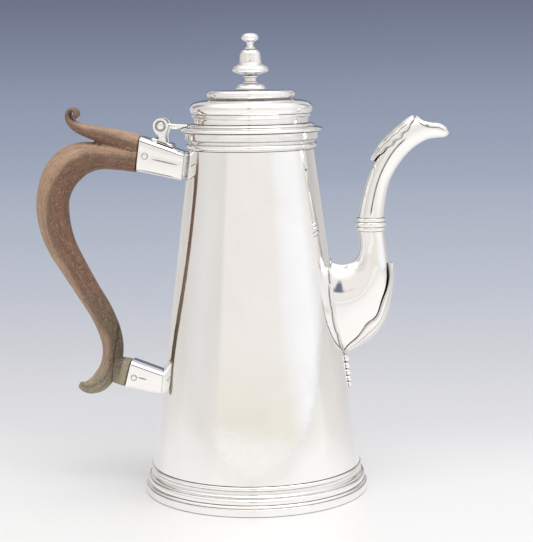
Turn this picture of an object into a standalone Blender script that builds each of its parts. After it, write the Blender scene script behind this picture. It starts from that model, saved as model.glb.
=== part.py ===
"""Silver coffee pot: a tapered body on a moulded foot, a swan-neck spout, a carved wooden
handle held by pins in two sockets, and a domed lid on a hinge with a turned finial.

Lengths below are millimetres from the pot's own axis and the table, and MM turns them into
metres. The spout points along +X and the handle along -X.
"""

import math

import bmesh
import bpy
from mathutils import Matrix, Vector

MM = 0.001
GAP = 0.3  # clearance between neighbouring pieces

# Driving dimensions.
AXIS_X = 6.05  # the pot's axis lies this far along +X from the middle of its length
BODY_BOTTOM_Z = 13.7
BODY_TOP_Z = 166.0
BODY_BOTTOM_R = 50.8
BODY_TOP_R = 30.0
WALL = 1.0
FOOT_R = 54.3
MOUTH_R = 28.8
RIM_TOP_Z = 174.4
LID_BOTTOM_Z = RIM_TOP_Z + GAP
HINGE_X = -43.1
HINGE_Z = 177.6
HINGE_PIN_R = 1.2
EAR_R = 3.7
COLLAR_X = 56.8
COLLAR_BOTTOM_Z = 126.6
COLLAR_TOP_Z = 132.8
COLLAR_R = 7.1
STUD_R = 1.2

ROUND_STEPS = 48
SMALL_STEPS = 20
TUBE_SIDES = 16
CUTTER_SIDES = 96
SHARP_ANGLE = math.radians(35)
WELD = 0.000005  # metres within which two points are one
THROUGH = 40.0  # length of a drill that goes right through a small piece
TRIM_TOP_Z = 190.0  # cutters that follow the body or the lid reach this high

SLOPE = (BODY_BOTTOM_R - BODY_TOP_R) / (BODY_TOP_Z - BODY_BOTTOM_Z)


def body_radius(z):
    """Outer radius of the tapered body at a height."""
    return BODY_TOP_R + (BODY_TOP_Z - z) * SLOPE


# ---------------------------------------------------------------- scene and materials


def clear_scene():
    for obj in list(bpy.data.objects):
        bpy.data.objects.remove(obj, do_unlink=True)


def new_collection(name):
    found = bpy.data.collections.new(name)
    bpy.context.scene.collection.children.link(found)
    return found


def finish(name, color, roughness, metallic):
    made = bpy.data.materials.new(name)
    made.use_nodes = True
    shader = made.node_tree.nodes["Principled BSDF"]
    shader.inputs["Base Color"].default_value = (*color, 1.0)
    shader.inputs["Roughness"].default_value = roughness
    shader.inputs["Metallic"].default_value = metallic
    return made


def add_object(name, mesh, collection, material=None):
    obj = bpy.data.objects.new(name, mesh)
    collection.objects.link(obj)
    if material:
        obj.data.materials.append(material)
    mesh.shade_smooth()
    mesh.set_sharp_from_angle(angle=SHARP_ANGLE)
    return obj


def mesh_from_bmesh(name, bm):
    bmesh.ops.recalc_face_normals(bm, faces=bm.faces)
    mesh = bpy.data.meshes.new(name)
    bm.to_mesh(mesh)
    bm.free()
    return mesh


# ---------------------------------------------------------------- shapes


def turned(name, outline, collection, material=None, steps=ROUND_STEPS, at_x=0.0, closed=True):
    """A turned piece from an outline of (radius, height) that runs down its outer side."""
    bm = bmesh.new()
    verts = [bm.verts.new((r * MM, 0.0, z * MM)) for r, z in outline]
    pairs = list(zip(verts, verts[1:]))
    if closed:
        pairs.append((verts[-1], verts[0]))
    for pair in pairs:
        bm.edges.new(pair)
    mesh = bpy.data.meshes.new(name)
    bm.to_mesh(mesh)
    bm.free()
    obj = add_object(name, mesh, collection, material)
    obj.location.x = at_x * MM
    screw = obj.modifiers.new("Turn", "SCREW")
    screw.axis = "Z"
    screw.angle = math.tau
    screw.steps = steps
    screw.render_steps = steps
    screw.use_merge_vertices = True
    screw.merge_threshold = WELD
    screw.use_smooth_shade = True
    return obj


def evaluated_mesh(obj):
    """The object's final mesh in its collection's space, with loose ends welded."""
    bpy.context.view_layer.update()
    graph = bpy.context.evaluated_depsgraph_get()
    mesh = bpy.data.meshes.new_from_object(obj.evaluated_get(graph))
    mesh.transform(obj.matrix_world)
    bm = bmesh.new()
    bm.from_mesh(mesh)
    bmesh.ops.remove_doubles(bm, verts=bm.verts, dist=WELD)
    bmesh.ops.recalc_face_normals(bm, faces=bm.faces)
    bm.to_mesh(mesh)
    bm.free()
    return mesh


def bake(obj):
    """Replaces the object by its evaluated mesh, in place, so that it can be cut or joined."""
    mesh = evaluated_mesh(obj)
    name = obj.name
    collection = obj.users_collection[0]
    material = obj.data.materials[0] if obj.data.materials else None
    bpy.data.objects.remove(obj, do_unlink=True)
    mesh.materials.clear()
    return add_object(name, mesh, collection, material)


def as_cutter(obj):
    obj.hide_render = True
    obj.display_type = "WIRE"
    return obj


def combine(obj, other, operation):
    modifier = obj.modifiers.new(operation.title(), "BOOLEAN")
    modifier.operation = operation
    modifier.solver = "EXACT"
    modifier.object = other
    return obj


def cut(obj, *others):
    for other in others:
        combine(obj, as_cutter(other), "DIFFERENCE")
    return bake(obj)


def join(obj, *others):
    for other in others:
        combine(obj, as_cutter(other), "UNION")
    return bake(obj)


def cylinder(name, radius, length, centre, collection, direction=(0, 1, 0), material=None,
             sides=SMALL_STEPS):
    bm = bmesh.new()
    bmesh.ops.create_cone(bm, cap_ends=True, segments=sides, radius1=radius * MM,
                          radius2=radius * MM, depth=length * MM)
    turn = Vector((0, 0, 1)).rotation_difference(Vector(direction)).to_matrix().to_4x4()
    place = Matrix.Translation(Vector(centre) * MM)
    bmesh.ops.transform(bm, matrix=place @ turn, verts=bm.verts)
    return add_object(name, mesh_from_bmesh(name, bm), collection, material)


LONG_EDGE = 5.0  # only a wedge's edges that run this far along X are bevelled


def wedge(name, corners, half_widths, collection, material=None, bevel=0.0):
    """A box whose side view has four corners (top left, top right, bottom right, bottom left)
    and whose half width goes from half_widths[0] at the left to half_widths[1] at the right."""
    bm = bmesh.new()
    bmesh.ops.create_cube(bm, size=2.0)
    for vert in bm.verts:
        left = vert.co.x < 0
        top = vert.co.z > 0
        x, z = corners[(0 if top else 3) if left else (1 if top else 2)]
        width = half_widths[0] if left else half_widths[1]
        vert.co = Vector((x, math.copysign(width, vert.co.y), z)) * MM
    if bevel:
        long_edges = [e for e in bm.edges
                      if abs(e.verts[0].co.x - e.verts[1].co.x) > LONG_EDGE * MM]
        bmesh.ops.bevel(bm, geom=long_edges, offset=bevel * MM, segments=2, profile=0.5,
                        affect="EDGES")
    return add_object(name, mesh_from_bmesh(name, bm), collection, material)


def shrunk(corners, by):
    """The same four corners moved in from the top and the bottom."""
    (ax, az), (bx, bz), (cx, cz), (dx, dz) = corners
    return [(ax, az - by), (bx, bz - by), (cx, cz + by), (dx, dz + by)]


def plate(name, outline, half_thickness, centre_y, collection, material=None, resolution=8):
    """A flat plate standing in the XZ plane, from a closed outline of (x, z, is_round)."""
    curve = bpy.data.curves.new(name, "CURVE")
    curve.dimensions = "2D"
    curve.fill_mode = "BOTH"
    curve.extrude = half_thickness * MM
    curve.resolution_u = resolution
    spline = curve.splines.new("BEZIER")
    spline.bezier_points.add(len(outline) - 1)
    for point, (x, z, is_round) in zip(spline.bezier_points, outline):
        point.co = (x * MM, z * MM, 0.0)
        kind = "AUTO" if is_round else "VECTOR"
        point.handle_left_type = kind
        point.handle_right_type = kind
    spline.use_cyclic_u = True
    obj = bpy.data.objects.new(name, curve)
    collection.objects.link(obj)
    obj.rotation_euler.x = math.pi / 2
    obj.location.y = centre_y * MM
    if material:
        curve.materials.append(material)
    return bake(obj)


def rod(name, stations, flatten, collection, material=None, sides=3, resolution=4):
    """A curved rod in the XZ plane through stations of (x, z, radius), flattened across it."""
    curve = bpy.data.curves.new(name, "CURVE")
    curve.dimensions = "3D"
    curve.bevel_depth = MM
    curve.bevel_resolution = sides
    curve.resolution_u = resolution
    curve.use_fill_caps = True
    spline = curve.splines.new("BEZIER")
    spline.bezier_points.add(len(stations) - 1)
    for point, (x, z, radius) in zip(spline.bezier_points, stations):
        point.co = (x * MM, 0.0, z * MM)
        point.radius = radius
        point.handle_left_type = "AUTO"
        point.handle_right_type = "AUTO"
    obj = bpy.data.objects.new(name, curve)
    collection.objects.link(obj)
    obj.scale.y = flatten
    if material:
        curve.materials.append(material)
    return bake(obj)


def smooth(points, per_span):
    """Points along a Catmull-Rom curve through the given tuples."""
    ends = [points[0], *points, points[-1]]
    made = []
    for i in range(len(points) - 1):
        a, b, c, d = ends[i:i + 4]
        for step in range(per_span):
            t = step / per_span
            made.append(tuple(
                0.5 * (2 * q + (r - p) * t + (2 * p - 5 * q + 4 * r - s) * t**2
                       + (3 * q - p - 3 * r + s) * t**3)
                for p, q, r, s in zip(a, b, c, d)))
    made.append(tuple(points[-1]))
    return made


def section(station, inset, angles):
    """Points round one section of the spout. A station is (back x, back z, belly x, belly z,
    half width), and angle 0 is at its back."""
    back_x, back_z, belly_x, belly_z, half_width = station
    middle = Vector(((back_x + belly_x) / 2, 0, (back_z + belly_z) / 2))
    across = Vector((back_x, 0, back_z)) - middle
    height = across.length - inset
    across.normalize()
    width = half_width - inset
    return [(middle + across * (height * math.cos(a)) + Vector((0, width * math.sin(a), 0))) * MM
            for a in angles]


def loft(name, rings, collection, material=None, capped=False):
    """One closed surface through rings of equal length: either both ends are capped, or the
    last ring joins the first."""
    bm = bmesh.new()
    rows = [[bm.verts.new(p) for p in ring] for ring in rings]
    following_rows = rows[1:] if capped else rows[1:] + rows[:1]
    for row, following in zip(rows, following_rows):
        for i in range(len(row)):
            j = (i + 1) % len(row)
            bm.faces.new((row[i], row[j], following[j], following[i]))
    if capped:
        caps = [bm.faces.new(rows[0]), bm.faces.new(rows[-1])]
        bmesh.ops.triangulate(bm, faces=caps)
    return add_object(name, mesh_from_bmesh(name, bm), collection, material)


def round_angles():
    return [math.tau * i / TUBE_SIDES for i in range(TUBE_SIDES)]


def tube(name, stations, wall, collection, material=None):
    """A hollow tube, open at both ends, through the spout's stations."""
    outer = [section(s, 0.0, round_angles()) for s in stations]
    inner = [section(s, wall, round_angles()) for s in reversed(stations)]
    return loft(name, outer + inner, collection, material)


LEAF_STEPS = 6  # points across a leaf
LEAF_TIP = 0.3  # width of a leaf's ends as a share of its widest part


def leaf(name, stations, facing, reach, thickness, lift, collection, material=None):
    """A thin leaf laid on the spout over stations of it, tapering to both ends. facing is the
    angle of its middle on the section, reach is its half angle at the widest, and lift is how
    far its last end curls away from the spout."""
    rings = []
    for i, station in enumerate(stations):
        share = i / (len(stations) - 1)
        swell = LEAF_TIP + (1 - LEAF_TIP) * math.sin(math.pi * share)
        spread = [facing + reach * swell * (2 * k / LEAF_STEPS - 1)
                  for k in range(LEAF_STEPS + 1)]
        stand_off = GAP + lift * share**3
        under = section(station, -stand_off, spread)
        over = section(station, -stand_off - thickness, spread[::-1])
        rings.append(under + over)
    return loft(name, rings, collection, material, capped=True)


# ---------------------------------------------------------------- body and foot


def body_cone(name, proud, collection):
    """The body's outer surface moved outwards, as a solid that trims what meets the body."""
    outline = [(0.0, TRIM_TOP_Z), (body_radius(TRIM_TOP_Z) + proud, TRIM_TOP_Z),
               (body_radius(0.0) + proud, 0.0), (0.0, 0.0)]
    return turned(name, outline, collection, steps=CUTTER_SIDES, closed=False)


STRAINER_Z = 96.0
STRAINER_RING_R = 8.0
STRAINER_HOLE_R = 2.6
STRAINER_NARROWING = 0.62  # the spout's root is taller than it is wide, and so is the ring of holes
STRAINER_SIDES = 14


def make_body_shell(parts, cutters, silver):
    """The tapered wall, with one strainer hole inside a ring of six where the spout joins."""
    outline = [
        (BODY_TOP_R, BODY_TOP_Z), (BODY_BOTTOM_R, BODY_BOTTOM_Z),
        (BODY_BOTTOM_R - WALL, BODY_BOTTOM_Z), (BODY_TOP_R - WALL, BODY_TOP_Z),
    ]
    shell = turned("body_shell", outline, parts, silver)
    holes = [(0.0, 0.0)]
    for k in range(6):
        angle = k * math.tau / 6
        holes.append((STRAINER_RING_R * STRAINER_NARROWING * math.cos(angle),
                      STRAINER_RING_R * math.sin(angle)))
    drills = []
    for number, (y, dz) in enumerate(holes):
        z = STRAINER_Z + dz
        drills.append(cylinder(f"strainer_drill_{number}", STRAINER_HOLE_R, 12 * WALL,
                               (body_radius(z) - WALL, y, z), cutters,
                               direction=(1, 0, 0), sides=STRAINER_SIDES))
    return cut(bake(shell), *drills)


BASE_LOW_Z = 14.9
BASE_THICKNESS = 1.0
BASE_DOME = 0.6  # how much higher the middle of the base is than its edge


def make_base_plate(parts, silver):
    """The slightly domed bottom inside the foot of the wall."""
    high = BASE_LOW_Z + BASE_THICKNESS
    radius = body_radius(high) - WALL - GAP
    outline = [(0.0, high + BASE_DOME), (radius * 0.6, high + BASE_DOME * 0.8), (radius, high),
               (radius, BASE_LOW_Z), (radius * 0.6, BASE_LOW_Z + BASE_DOME * 0.8),
               (0.0, BASE_LOW_Z + BASE_DOME)]
    return turned("base_plate", outline, parts, silver, closed=False)


def make_foot_ring(parts, silver):
    """A bead under the body, a hollow, a swelling and a plain flange that stands on the table."""
    top = BODY_BOTTOM_Z - GAP
    outline = [
        (50.6, top), (51.4, 12.8), (51.5, 11.9), (50.9, 11.1), (50.9, 10.2), (51.5, 8.9),
        (52.6, 8.0), (53.1, 6.9), (53.2, 5.6), (53.7, 4.6), (53.8, 3.8), (FOOT_R, 3.3),
        (FOOT_R, 0.4), (FOOT_R - 0.4, 0.0), (51.6, 0.0), (51.6, 6.0), (49.6, 9.8), (49.4, top),
    ]
    return turned("foot_ring", outline, parts, silver)


def make_rim_moulding(parts, silver):
    """The moulded ring round the mouth, that the lid closes on."""
    outline = [
        (31.6, RIM_TOP_Z), (32.0, 174.0), (32.0, 171.2), (31.6, 170.8), (30.7, 170.5),
        (30.4, 169.6), (30.7, 168.9), (31.3, 168.6), (31.5, 167.9), (31.2, 167.2),
        (30.3, 166.8), (30.1, BODY_TOP_Z + GAP), (MOUTH_R, BODY_TOP_Z + GAP), (MOUTH_R, RIM_TOP_Z),
    ]
    return turned("rim_moulding", outline, parts, silver)


# ---------------------------------------------------------------- lid and finial


def make_lid_cover(parts, silver):
    """The domed cover: a hollow above the rim, a swelling, a second hollow and a flat top."""
    outer = [
        (3.4, 194.2), (12.0, 194.1), (19.4, 193.9), (20.9, 193.2), (21.3, 192.1), (20.8, 191.0),
        (20.2, 190.3), (21.0, 189.7), (23.6, 189.2), (26.4, 188.6), (28.6, 187.5), (29.5, 185.9),
        (29.2, 184.2), (28.6, 182.9), (28.7, 182.3), (28.2, 181.7), (27.5, 180.4), (27.4, 178.6),
    ]
    inner = [
        (26.2, 178.6), (26.3, 180.8), (27.9, 184.4), (27.9, 186.2), (26.0, 187.4), (19.4, 189.0),
        (19.6, 192.4), (18.6, 192.9), (3.4, 193.1),
    ]
    return turned("lid_cover", outer + inner, parts, silver)


def make_lid_rim(parts, silver):
    """The lid's moulded edge, a step above a flared flange that overhangs the mouth."""
    outline = [
        (28.9, 178.3), (29.9, 178.1), (30.4, 177.4), (30.5, 176.8), (32.2, 176.5),
        (33.8, 176.0), (34.1, 175.5), (33.8, 174.9), (33.2, LID_BOTTOM_Z),
        (27.0, LID_BOTTOM_Z), (27.0, 178.3),
    ]
    return turned("lid_rim", outline, parts, silver)


def make_lid_bezel(parts, silver):
    """The plain ring under the lid that centres it in the mouth."""
    outline = [(27.8, LID_BOTTOM_Z - GAP), (27.8, 171.2), (27.3, 170.6), (26.8, 170.6),
               (26.8, LID_BOTTOM_Z - GAP)]
    return turned("lid_bezel", outline, parts, silver)


def make_finial(parts, silver):
    """The turned finial stands on the lid on a threaded stud, with a nut under the lid."""
    bore = STUD_R + GAP
    turned("finial_foot", [
        (bore, 200.9), (3.3, 200.9), (3.5, 200.4), (2.9, 199.8), (2.7, 198.8), (3.1, 198.0),
        (3.4, 197.5), (4.6, 197.1), (6.4, 196.2), (7.3, 195.0), (7.3, 194.5), (bore, 194.5),
    ], parts, silver, steps=SMALL_STEPS)
    turned("finial_bell", [
        (bore, 213.2), (2.6, 213.2), (3.3, 212.9), (4.3, 212.2), (5.0, 210.6), (5.2, 208.6),
        (5.5, 206.6), (6.4, 205.7), (8.2, 204.8), (8.8, 203.7), (8.2, 202.7), (6.2, 202.0),
        (4.4, 201.4), (bore, 201.2),
    ], parts, silver, steps=SMALL_STEPS)
    turned("finial_button", [
        (0.0, 221.0), (1.9, 220.8), (3.5, 220.1), (4.2, 218.9), (3.6, 217.7), (2.1, 216.9),
        (1.6, 216.0), (1.6, 215.0), (2.0, 214.2), (2.5, 213.5), (0.0, 213.5),
    ], parts, silver, steps=SMALL_STEPS, closed=False)
    turned("finial_stud", [
        (0.0, 212.9), (STUD_R, 212.6), (STUD_R, 188.2), (0.0, 188.2),
    ], parts, silver, steps=16, closed=False)
    washer = [(4.6, 192.7), (4.6, 192.1), (bore, 192.1), (bore, 192.7)]
    turned("finial_washer", washer, parts, silver, steps=SMALL_STEPS)
    nut = [(3.2, 191.8), (3.2, 189.4), (bore, 189.4), (bore, 191.8)]
    turned("finial_nut", nut, parts, silver, steps=6)


# ---------------------------------------------------------------- hinge

UPPER_SOCKET = [(-53.0, 172.6), (-31.0, 164.6), (-31.0, 150.8), (-55.4, 156.2)]


def socket_top(x):
    """Height of the upper socket's top edge."""
    (ax, az), (bx, bz) = UPPER_SOCKET[:2]
    return az + (x - ax) * (bz - az) / (bx - ax)


EAR_HALF_THICKNESS = 1.45
EAR_Y = 4.4
EAR_STEPS = 3
KNUCKLE_R = 3.5
KNUCKLE_WIDTH = 5.2


def make_hinge(parts, cutters, silver):
    """Two ears stand on the upper socket, and the lid's knuckle turns between them on a pin."""
    shoulder = EAR_R * 0.72
    foot_back, foot_front = HINGE_X - 3.0, HINGE_X + 4.6
    ear_outline = [
        (HINGE_X, HINGE_Z + EAR_R, True), (HINGE_X + shoulder, HINGE_Z + shoulder, True),
        (HINGE_X + EAR_R, HINGE_Z - 0.2, True), (HINGE_X + 2.6, HINGE_Z - 3.2, True),
        (HINGE_X + 2.2, HINGE_Z - 5.6, True), (HINGE_X + 3.2, HINGE_Z - 8.6, True),
        (foot_front, socket_top(foot_front) + 0.8, False),
        (foot_back, socket_top(foot_back) + 0.8, False),
        (HINGE_X - 0.9, HINGE_Z - 6.6, True), (HINGE_X - 1.2, HINGE_Z - 4.2, True),
        (HINGE_X - EAR_R, HINGE_Z - 0.6, True), (HINGE_X - shoulder, HINGE_Z + shoulder, True),
    ]
    near_ear = plate("hinge_bracket", ear_outline, EAR_HALF_THICKNESS, -EAR_Y, parts, silver,
                     EAR_STEPS)
    far_ear = plate("far_ear", ear_outline, EAR_HALF_THICKNESS, EAR_Y, cutters, None, EAR_STEPS)
    back, front = foot_back - 1.5, foot_front + 1.1
    half_width = EAR_Y + EAR_HALF_THICKNESS
    saddle = wedge("hinge_saddle", [
        (back, socket_top(back) + 1.5), (front, socket_top(front) + 1.5),
        (front, socket_top(front) + GAP), (back, socket_top(back) + GAP),
    ], (half_width, half_width), cutters)
    axis = (HINGE_X, 0, HINGE_Z)
    bore = cylinder("hinge_bore", HINGE_PIN_R + GAP, THROUGH, axis, cutters)
    cut(join(near_ear, far_ear, saddle), bore)
    cylinder("hinge_pin", HINGE_PIN_R, 2 * half_width + 0.9, axis, parts, material=silver)

    knuckle = cylinder("lid_hinge_tongue", KNUCKLE_R, KNUCKLE_WIDTH, axis, parts, material=silver)
    arm = wedge("tongue_arm", [(-42.0, 179.8), (-29.5, 178.2), (-29.5, 175.6), (-42.0, 176.2)],
                (2.1, 4.4), cutters)
    lid_edge = turned("tongue_trim", [
        (0.0, TRIM_TOP_Z), (30.9, TRIM_TOP_Z), (30.9, 177.1), (32.3, 176.9), (34.0, 176.4),
        (34.5, 175.5), (34.5, 170.0), (0.0, 170.0),
    ], cutters, steps=CUTTER_SIDES, closed=False)
    cut(join(knuckle, arm), bake(lid_edge), bore)


# ---------------------------------------------------------------- handle and sockets

LOWER_SOCKET = [(-60.4, 63.1), (-40.0, 55.7), (-40.0, 44.6), (-63.9, 49.7)]
UPPER_PIN = (-50.9, 163.4)
LOWER_PIN = (-59.2, 55.0)
UPPER_PIN_R = 1.1
LOWER_PIN_R = 1.3
SOCKET_WALL = 1.0
SOCKET_DEPTH = 13.0
PAD_PROUD = 2.2  # how far the upper socket's pad stands off the body
UPPER_HALF_WIDTHS = (7.4, 6.4)
LOWER_HALF_WIDTHS = (6.2, 6.0)


def beyond(start, end, distance):
    """The point that lies a distance past end on the line from start."""
    return Vector(end) + (Vector(end) - Vector(start)).normalized() * distance


def make_socket(name, corners, half_widths, pin, pin_r, standoff, parts, cutters, silver):
    """A tapered socket with bevelled edges, open at the handle's end and closed at the body."""
    socket = wedge(name, corners, half_widths, parts, silver, bevel=2.2)
    top_out, top_in, low_in, low_out = [Vector(c) for c in shrunk(corners, SOCKET_WALL)]
    share = SOCKET_DEPTH / (top_in.x - top_out.x)
    opening = 4.0  # the cutter runs this far out of the socket's mouth
    hollow = [beyond(top_in, top_out, opening), top_out.lerp(top_in, share),
              low_out.lerp(low_in, share), beyond(low_in, low_out, opening)]
    inside = wedge(name + "_hollow", hollow, [w - SOCKET_WALL for w in half_widths], cutters,
                   bevel=1.6)
    hole = cylinder(name + "_hole", pin_r + GAP, THROUGH, (pin[0], 0, pin[1]), cutters)
    cone = bake(body_cone(name + "_trim", standoff, cutters))
    return cut(socket, inside, hole, cone)


def make_sockets(parts, cutters, silver):
    make_socket("upper_socket", UPPER_SOCKET, UPPER_HALF_WIDTHS, UPPER_PIN, UPPER_PIN_R,
                PAD_PROUD + GAP, parts, cutters, silver)
    make_socket("lower_socket", LOWER_SOCKET, LOWER_HALF_WIDTHS, LOWER_PIN, LOWER_PIN_R,
                GAP, parts, cutters, silver)
    pad = wedge("upper_socket_pad",
                [(-37.0, 165.2), (-20.0, 165.2), (-20.0, 152.6), (-37.0, 152.6)],
                (8.2, 8.2), parts, silver, bevel=3.6)
    inner = bake(body_cone("pad_trim", GAP, cutters))
    outer = bake(body_cone("pad_limit", PAD_PROUD, cutters))
    combine(pad, as_cutter(outer), "INTERSECT")
    cut(bake(pad), inner)
    cylinder("upper_handle_pin", UPPER_PIN_R, 15.2, (UPPER_PIN[0], 0, UPPER_PIN[1]), parts,
             material=silver)
    cylinder("lower_handle_pin", LOWER_PIN_R, 12.8, (LOWER_PIN[0], 0, LOWER_PIN[1]), parts,
             material=silver)


# Middle line of the grip as (x, z, half thickness), from the upper socket to the tail.
GRIP = [
    (-56.4, 161.6, 6.6), (-64.5, 162.6, 6.3), (-73.5, 163.2, 6.4), (-81.6, 162.4, 7.9),
    (-88.2, 159.6, 8.9), (-93.6, 154.1, 8.8), (-97.2, 146.3, 8.3), (-98.3, 138.2, 8.1),
    (-97.1, 127.9, 7.8), (-93.9, 118.4, 7.2), (-88.5, 108.6, 6.5), (-82.4, 98.0, 5.9),
    (-76.3, 87.8, 5.7), (-72.0, 77.9, 5.5), (-70.3, 68.4, 5.2), (-72.1, 59.2, 4.9),
    (-78.0, 51.4, 4.9), (-84.0, 49.1, 3.4), (-87.5, 49.3, 1.9),
]
# Middle line of the thumb piece above the grip, ending where it rolls into its scroll.
THUMB = [
    (-56.0, 168.6, 5.2), (-64.5, 171.0, 4.9), (-73.0, 173.1, 4.4), (-79.0, 174.7, 3.7),
    (-84.4, 176.6, 2.8), (-87.8, 179.4, 2.0), (-88.7, 182.2, 1.5), (-87.7, 184.0, 1.4),
]
SCROLL = (-87.3, 183.7)
SCROLL_R = 2.7
SCROLL_WIDTH = 10.4
GRIP_FLATNESS = 0.86  # width across the handle as a share of its depth
THUMB_FLATNESS = 1.1


def make_handle(parts, cutters, wood):
    """The carved grip with its thumb piece, and a tenon in each socket."""
    grip = rod("handle", GRIP, GRIP_FLATNESS, parts, wood, sides=4)
    thumb = rod("thumb_piece", THUMB, THUMB_FLATNESS, cutters, sides=3)
    scroll = cylinder("thumb_scroll", SCROLL_R, SCROLL_WIDTH, (SCROLL[0], 0, SCROLL[1]), cutters,
                      sides=16)
    shoulder = wedge("handle_shoulder",
                     [(-62.0, 174.9), (-53.4 - GAP, 173.1), (-56.2 - GAP, 154.9), (-62.0, 156.0)],
                     (6.2, 7.6), cutters, bevel=2.4)
    stub = wedge("handle_stub",
                 [(-69.5, 64.6), (-60.7 - GAP, 63.0), (-64.2 - GAP, 49.8), (-70.5, 51.6)],
                 (4.8, 6.1), cutters, bevel=1.4)
    upper_tenon = wedge("upper_tenon",
                        [(-58.0, 172.2), (-42.4, 166.6), (-43.2, 155.4), (-58.0, 158.6)],
                        (5.9, 5.2), cutters, bevel=1.4)
    lower_tenon = wedge("lower_tenon",
                        [(-66.0, 63.0), (-50.0, 57.3), (-51.0, 48.9), (-66.0, 52.2)],
                        (4.7, 4.4), cutters, bevel=1.2)
    handle = join(grip, thumb, scroll, shoulder, stub, upper_tenon, lower_tenon)
    upper_hole = cylinder("upper_tenon_hole", UPPER_PIN_R + GAP, THROUGH,
                          (UPPER_PIN[0], 0, UPPER_PIN[1]), cutters)
    lower_hole = cylinder("lower_tenon_hole", LOWER_PIN_R + GAP, THROUGH,
                          (LOWER_PIN[0], 0, LOWER_PIN[1]), cutters)
    return cut(handle, upper_hole, lower_hole)


# ---------------------------------------------------------------- spout

# Sections of the spout as (back x, back z, belly x, belly z, half width).
SPOUT_LOWER = [
    (34.0, 113.4, 30.0, 66.6, 10.0), (40.4, 110.6, 42.4, 68.0, 9.6),
    (44.6, 110.4, 51.6, 72.2, 9.2), (48.4, 111.9, 59.0, 78.2, 8.6),
    (50.3, 114.4, 64.0, 88.4, 8.0), (51.2, 118.2, 65.8, 103.0, 7.2),
    (51.2, 122.2, 64.4, 116.2, 6.5), (50.8, COLLAR_BOTTOM_Z - GAP, 63.0, COLLAR_BOTTOM_Z - GAP, 6.1),
]
SPOUT_NECK = [
    (50.7, COLLAR_TOP_Z + GAP, 62.9, COLLAR_TOP_Z + GAP, 6.1), (52.0, 139.6, 63.6, 139.2, 5.7),
    (54.7, 149.6, 65.2, 148.0, 5.3), (57.9, 158.6, 68.4, 155.2, 5.2),
    (62.6, 167.4, 73.0, 161.8, 5.2), (69.4, 174.6, 77.8, 166.4, 5.3),
    (77.6, 180.2, 83.2, 169.6, 5.5), (85.6, 180.0, 87.6, 170.5, 5.4),
    (91.6, 176.6, 91.4, 170.8, 3.9), (94.0, 173.4, 93.2, 171.6, 1.9),
]
# Edge of the mouth from the crest of the back to the tip, with what lies above it cut away.
MOUTH_EDGE = [
    (77.2, 181.4, False), (79.4, 180.4, True), (81.6, 178.4, True), (85.0, 177.3, True),
    (89.0, 177.0, True), (92.2, 175.3, True), (94.4, 172.9, False), (101.0, 172.9, False),
    (101.0, 192.0, False), (77.2, 192.0, False),
]
SPOUT_WALL = 0.9
COLLAR_BORE_R = 5.2


def make_spout(parts, cutters, silver):
    lower_path = smooth(SPOUT_LOWER, 2)
    lower = tube("spout_lower", lower_path, SPOUT_WALL, parts, silver)
    cut(lower, bake(body_cone("spout_trim", GAP, cutters)))

    valley = COLLAR_R - 0.6
    beads = [(valley, COLLAR_TOP_Z)]
    height = (COLLAR_TOP_Z - COLLAR_BOTTOM_Z) / 3
    for number, swell in enumerate((COLLAR_R, COLLAR_R + 0.3, COLLAR_R)):
        top = COLLAR_TOP_Z - number * height
        beads += [(swell, top - height * 0.3), (swell, top - height * 0.7), (valley, top - height)]
    beads += [(COLLAR_BORE_R, COLLAR_BOTTOM_Z), (COLLAR_BORE_R, COLLAR_TOP_Z)]
    turned("spout_collar", beads, parts, silver, steps=SMALL_STEPS, at_x=COLLAR_X)

    neck = tube("spout_neck", smooth(SPOUT_NECK, 2), SPOUT_WALL, parts, silver)
    cut(neck, plate("spout_mouth_cut", MOUTH_EDGE, THROUGH / 2, 0.0, cutters))

    back_stations = smooth(SPOUT_NECK, 5)[30:15:-2]
    leaf("spout_back_leaf", back_stations, 0.0, 0.95, 0.8, 0.6, parts, silver)
    keel_stations = smooth(SPOUT_LOWER, 4)[7:24:2]
    leaf("spout_keel_leaf", keel_stations, math.pi, 0.62, 1.1, 2.0, parts, silver)
    make_spout_flange(lower_path, parts, cutters, silver)
    make_spout_drop(parts, cutters, silver)


FLANGE_Z = 90.0
FLANGE_HALF_HEIGHT = 23.4
FLANGE_HALF_WIDTH = 13.2
FLANGE_LOBES = 10
FLANGE_NOTCH = 0.9  # reach of the notches between the lobes, against the lobes'
FLANGE_THICKNESS = 1.0


def make_spout_flange(lower_path, parts, cutters, silver):
    """A scalloped plate that follows the body round the root of the spout."""
    points = []
    for k in range(FLANGE_LOBES * 2):
        angle = math.pi * k / FLANGE_LOBES
        reach = 1.0 if k % 2 == 0 else FLANGE_NOTCH
        points.append((FLANGE_HALF_WIDTH * reach * math.sin(angle),
                       FLANGE_Z + FLANGE_HALF_HEIGHT * reach * math.cos(angle), True))
    flange = plate("spout_flange", points, THROUGH / 2, 0.0, parts, silver, 3)
    flange.data.transform(Matrix.Rotation(math.pi / 2, 4, "Z"))
    flange.data.transform(Matrix.Translation((body_radius(FLANGE_Z) * MM, 0, 0)))
    limit = bake(body_cone("flange_limit", GAP + FLANGE_THICKNESS, cutters))
    combine(flange, as_cutter(limit), "INTERSECT")
    # The spout passes through the plate with clearance.
    rings = [section(station, -GAP, round_angles()) for station in lower_path[:6]]
    passage = loft("flange_hole", rings, cutters, capped=True)
    return cut(bake(flange), bake(body_cone("flange_trim", GAP, cutters)), passage)


# Beads of the drop under the spout, as (height, radius), and the height of its tip.
DROP_BEADS = [(64.4, 2.0), (60.7, 1.8), (57.4, 1.7), (54.3, 1.5), (51.6, 1.2)]
DROP_TIP_Z = 49.8


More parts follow.
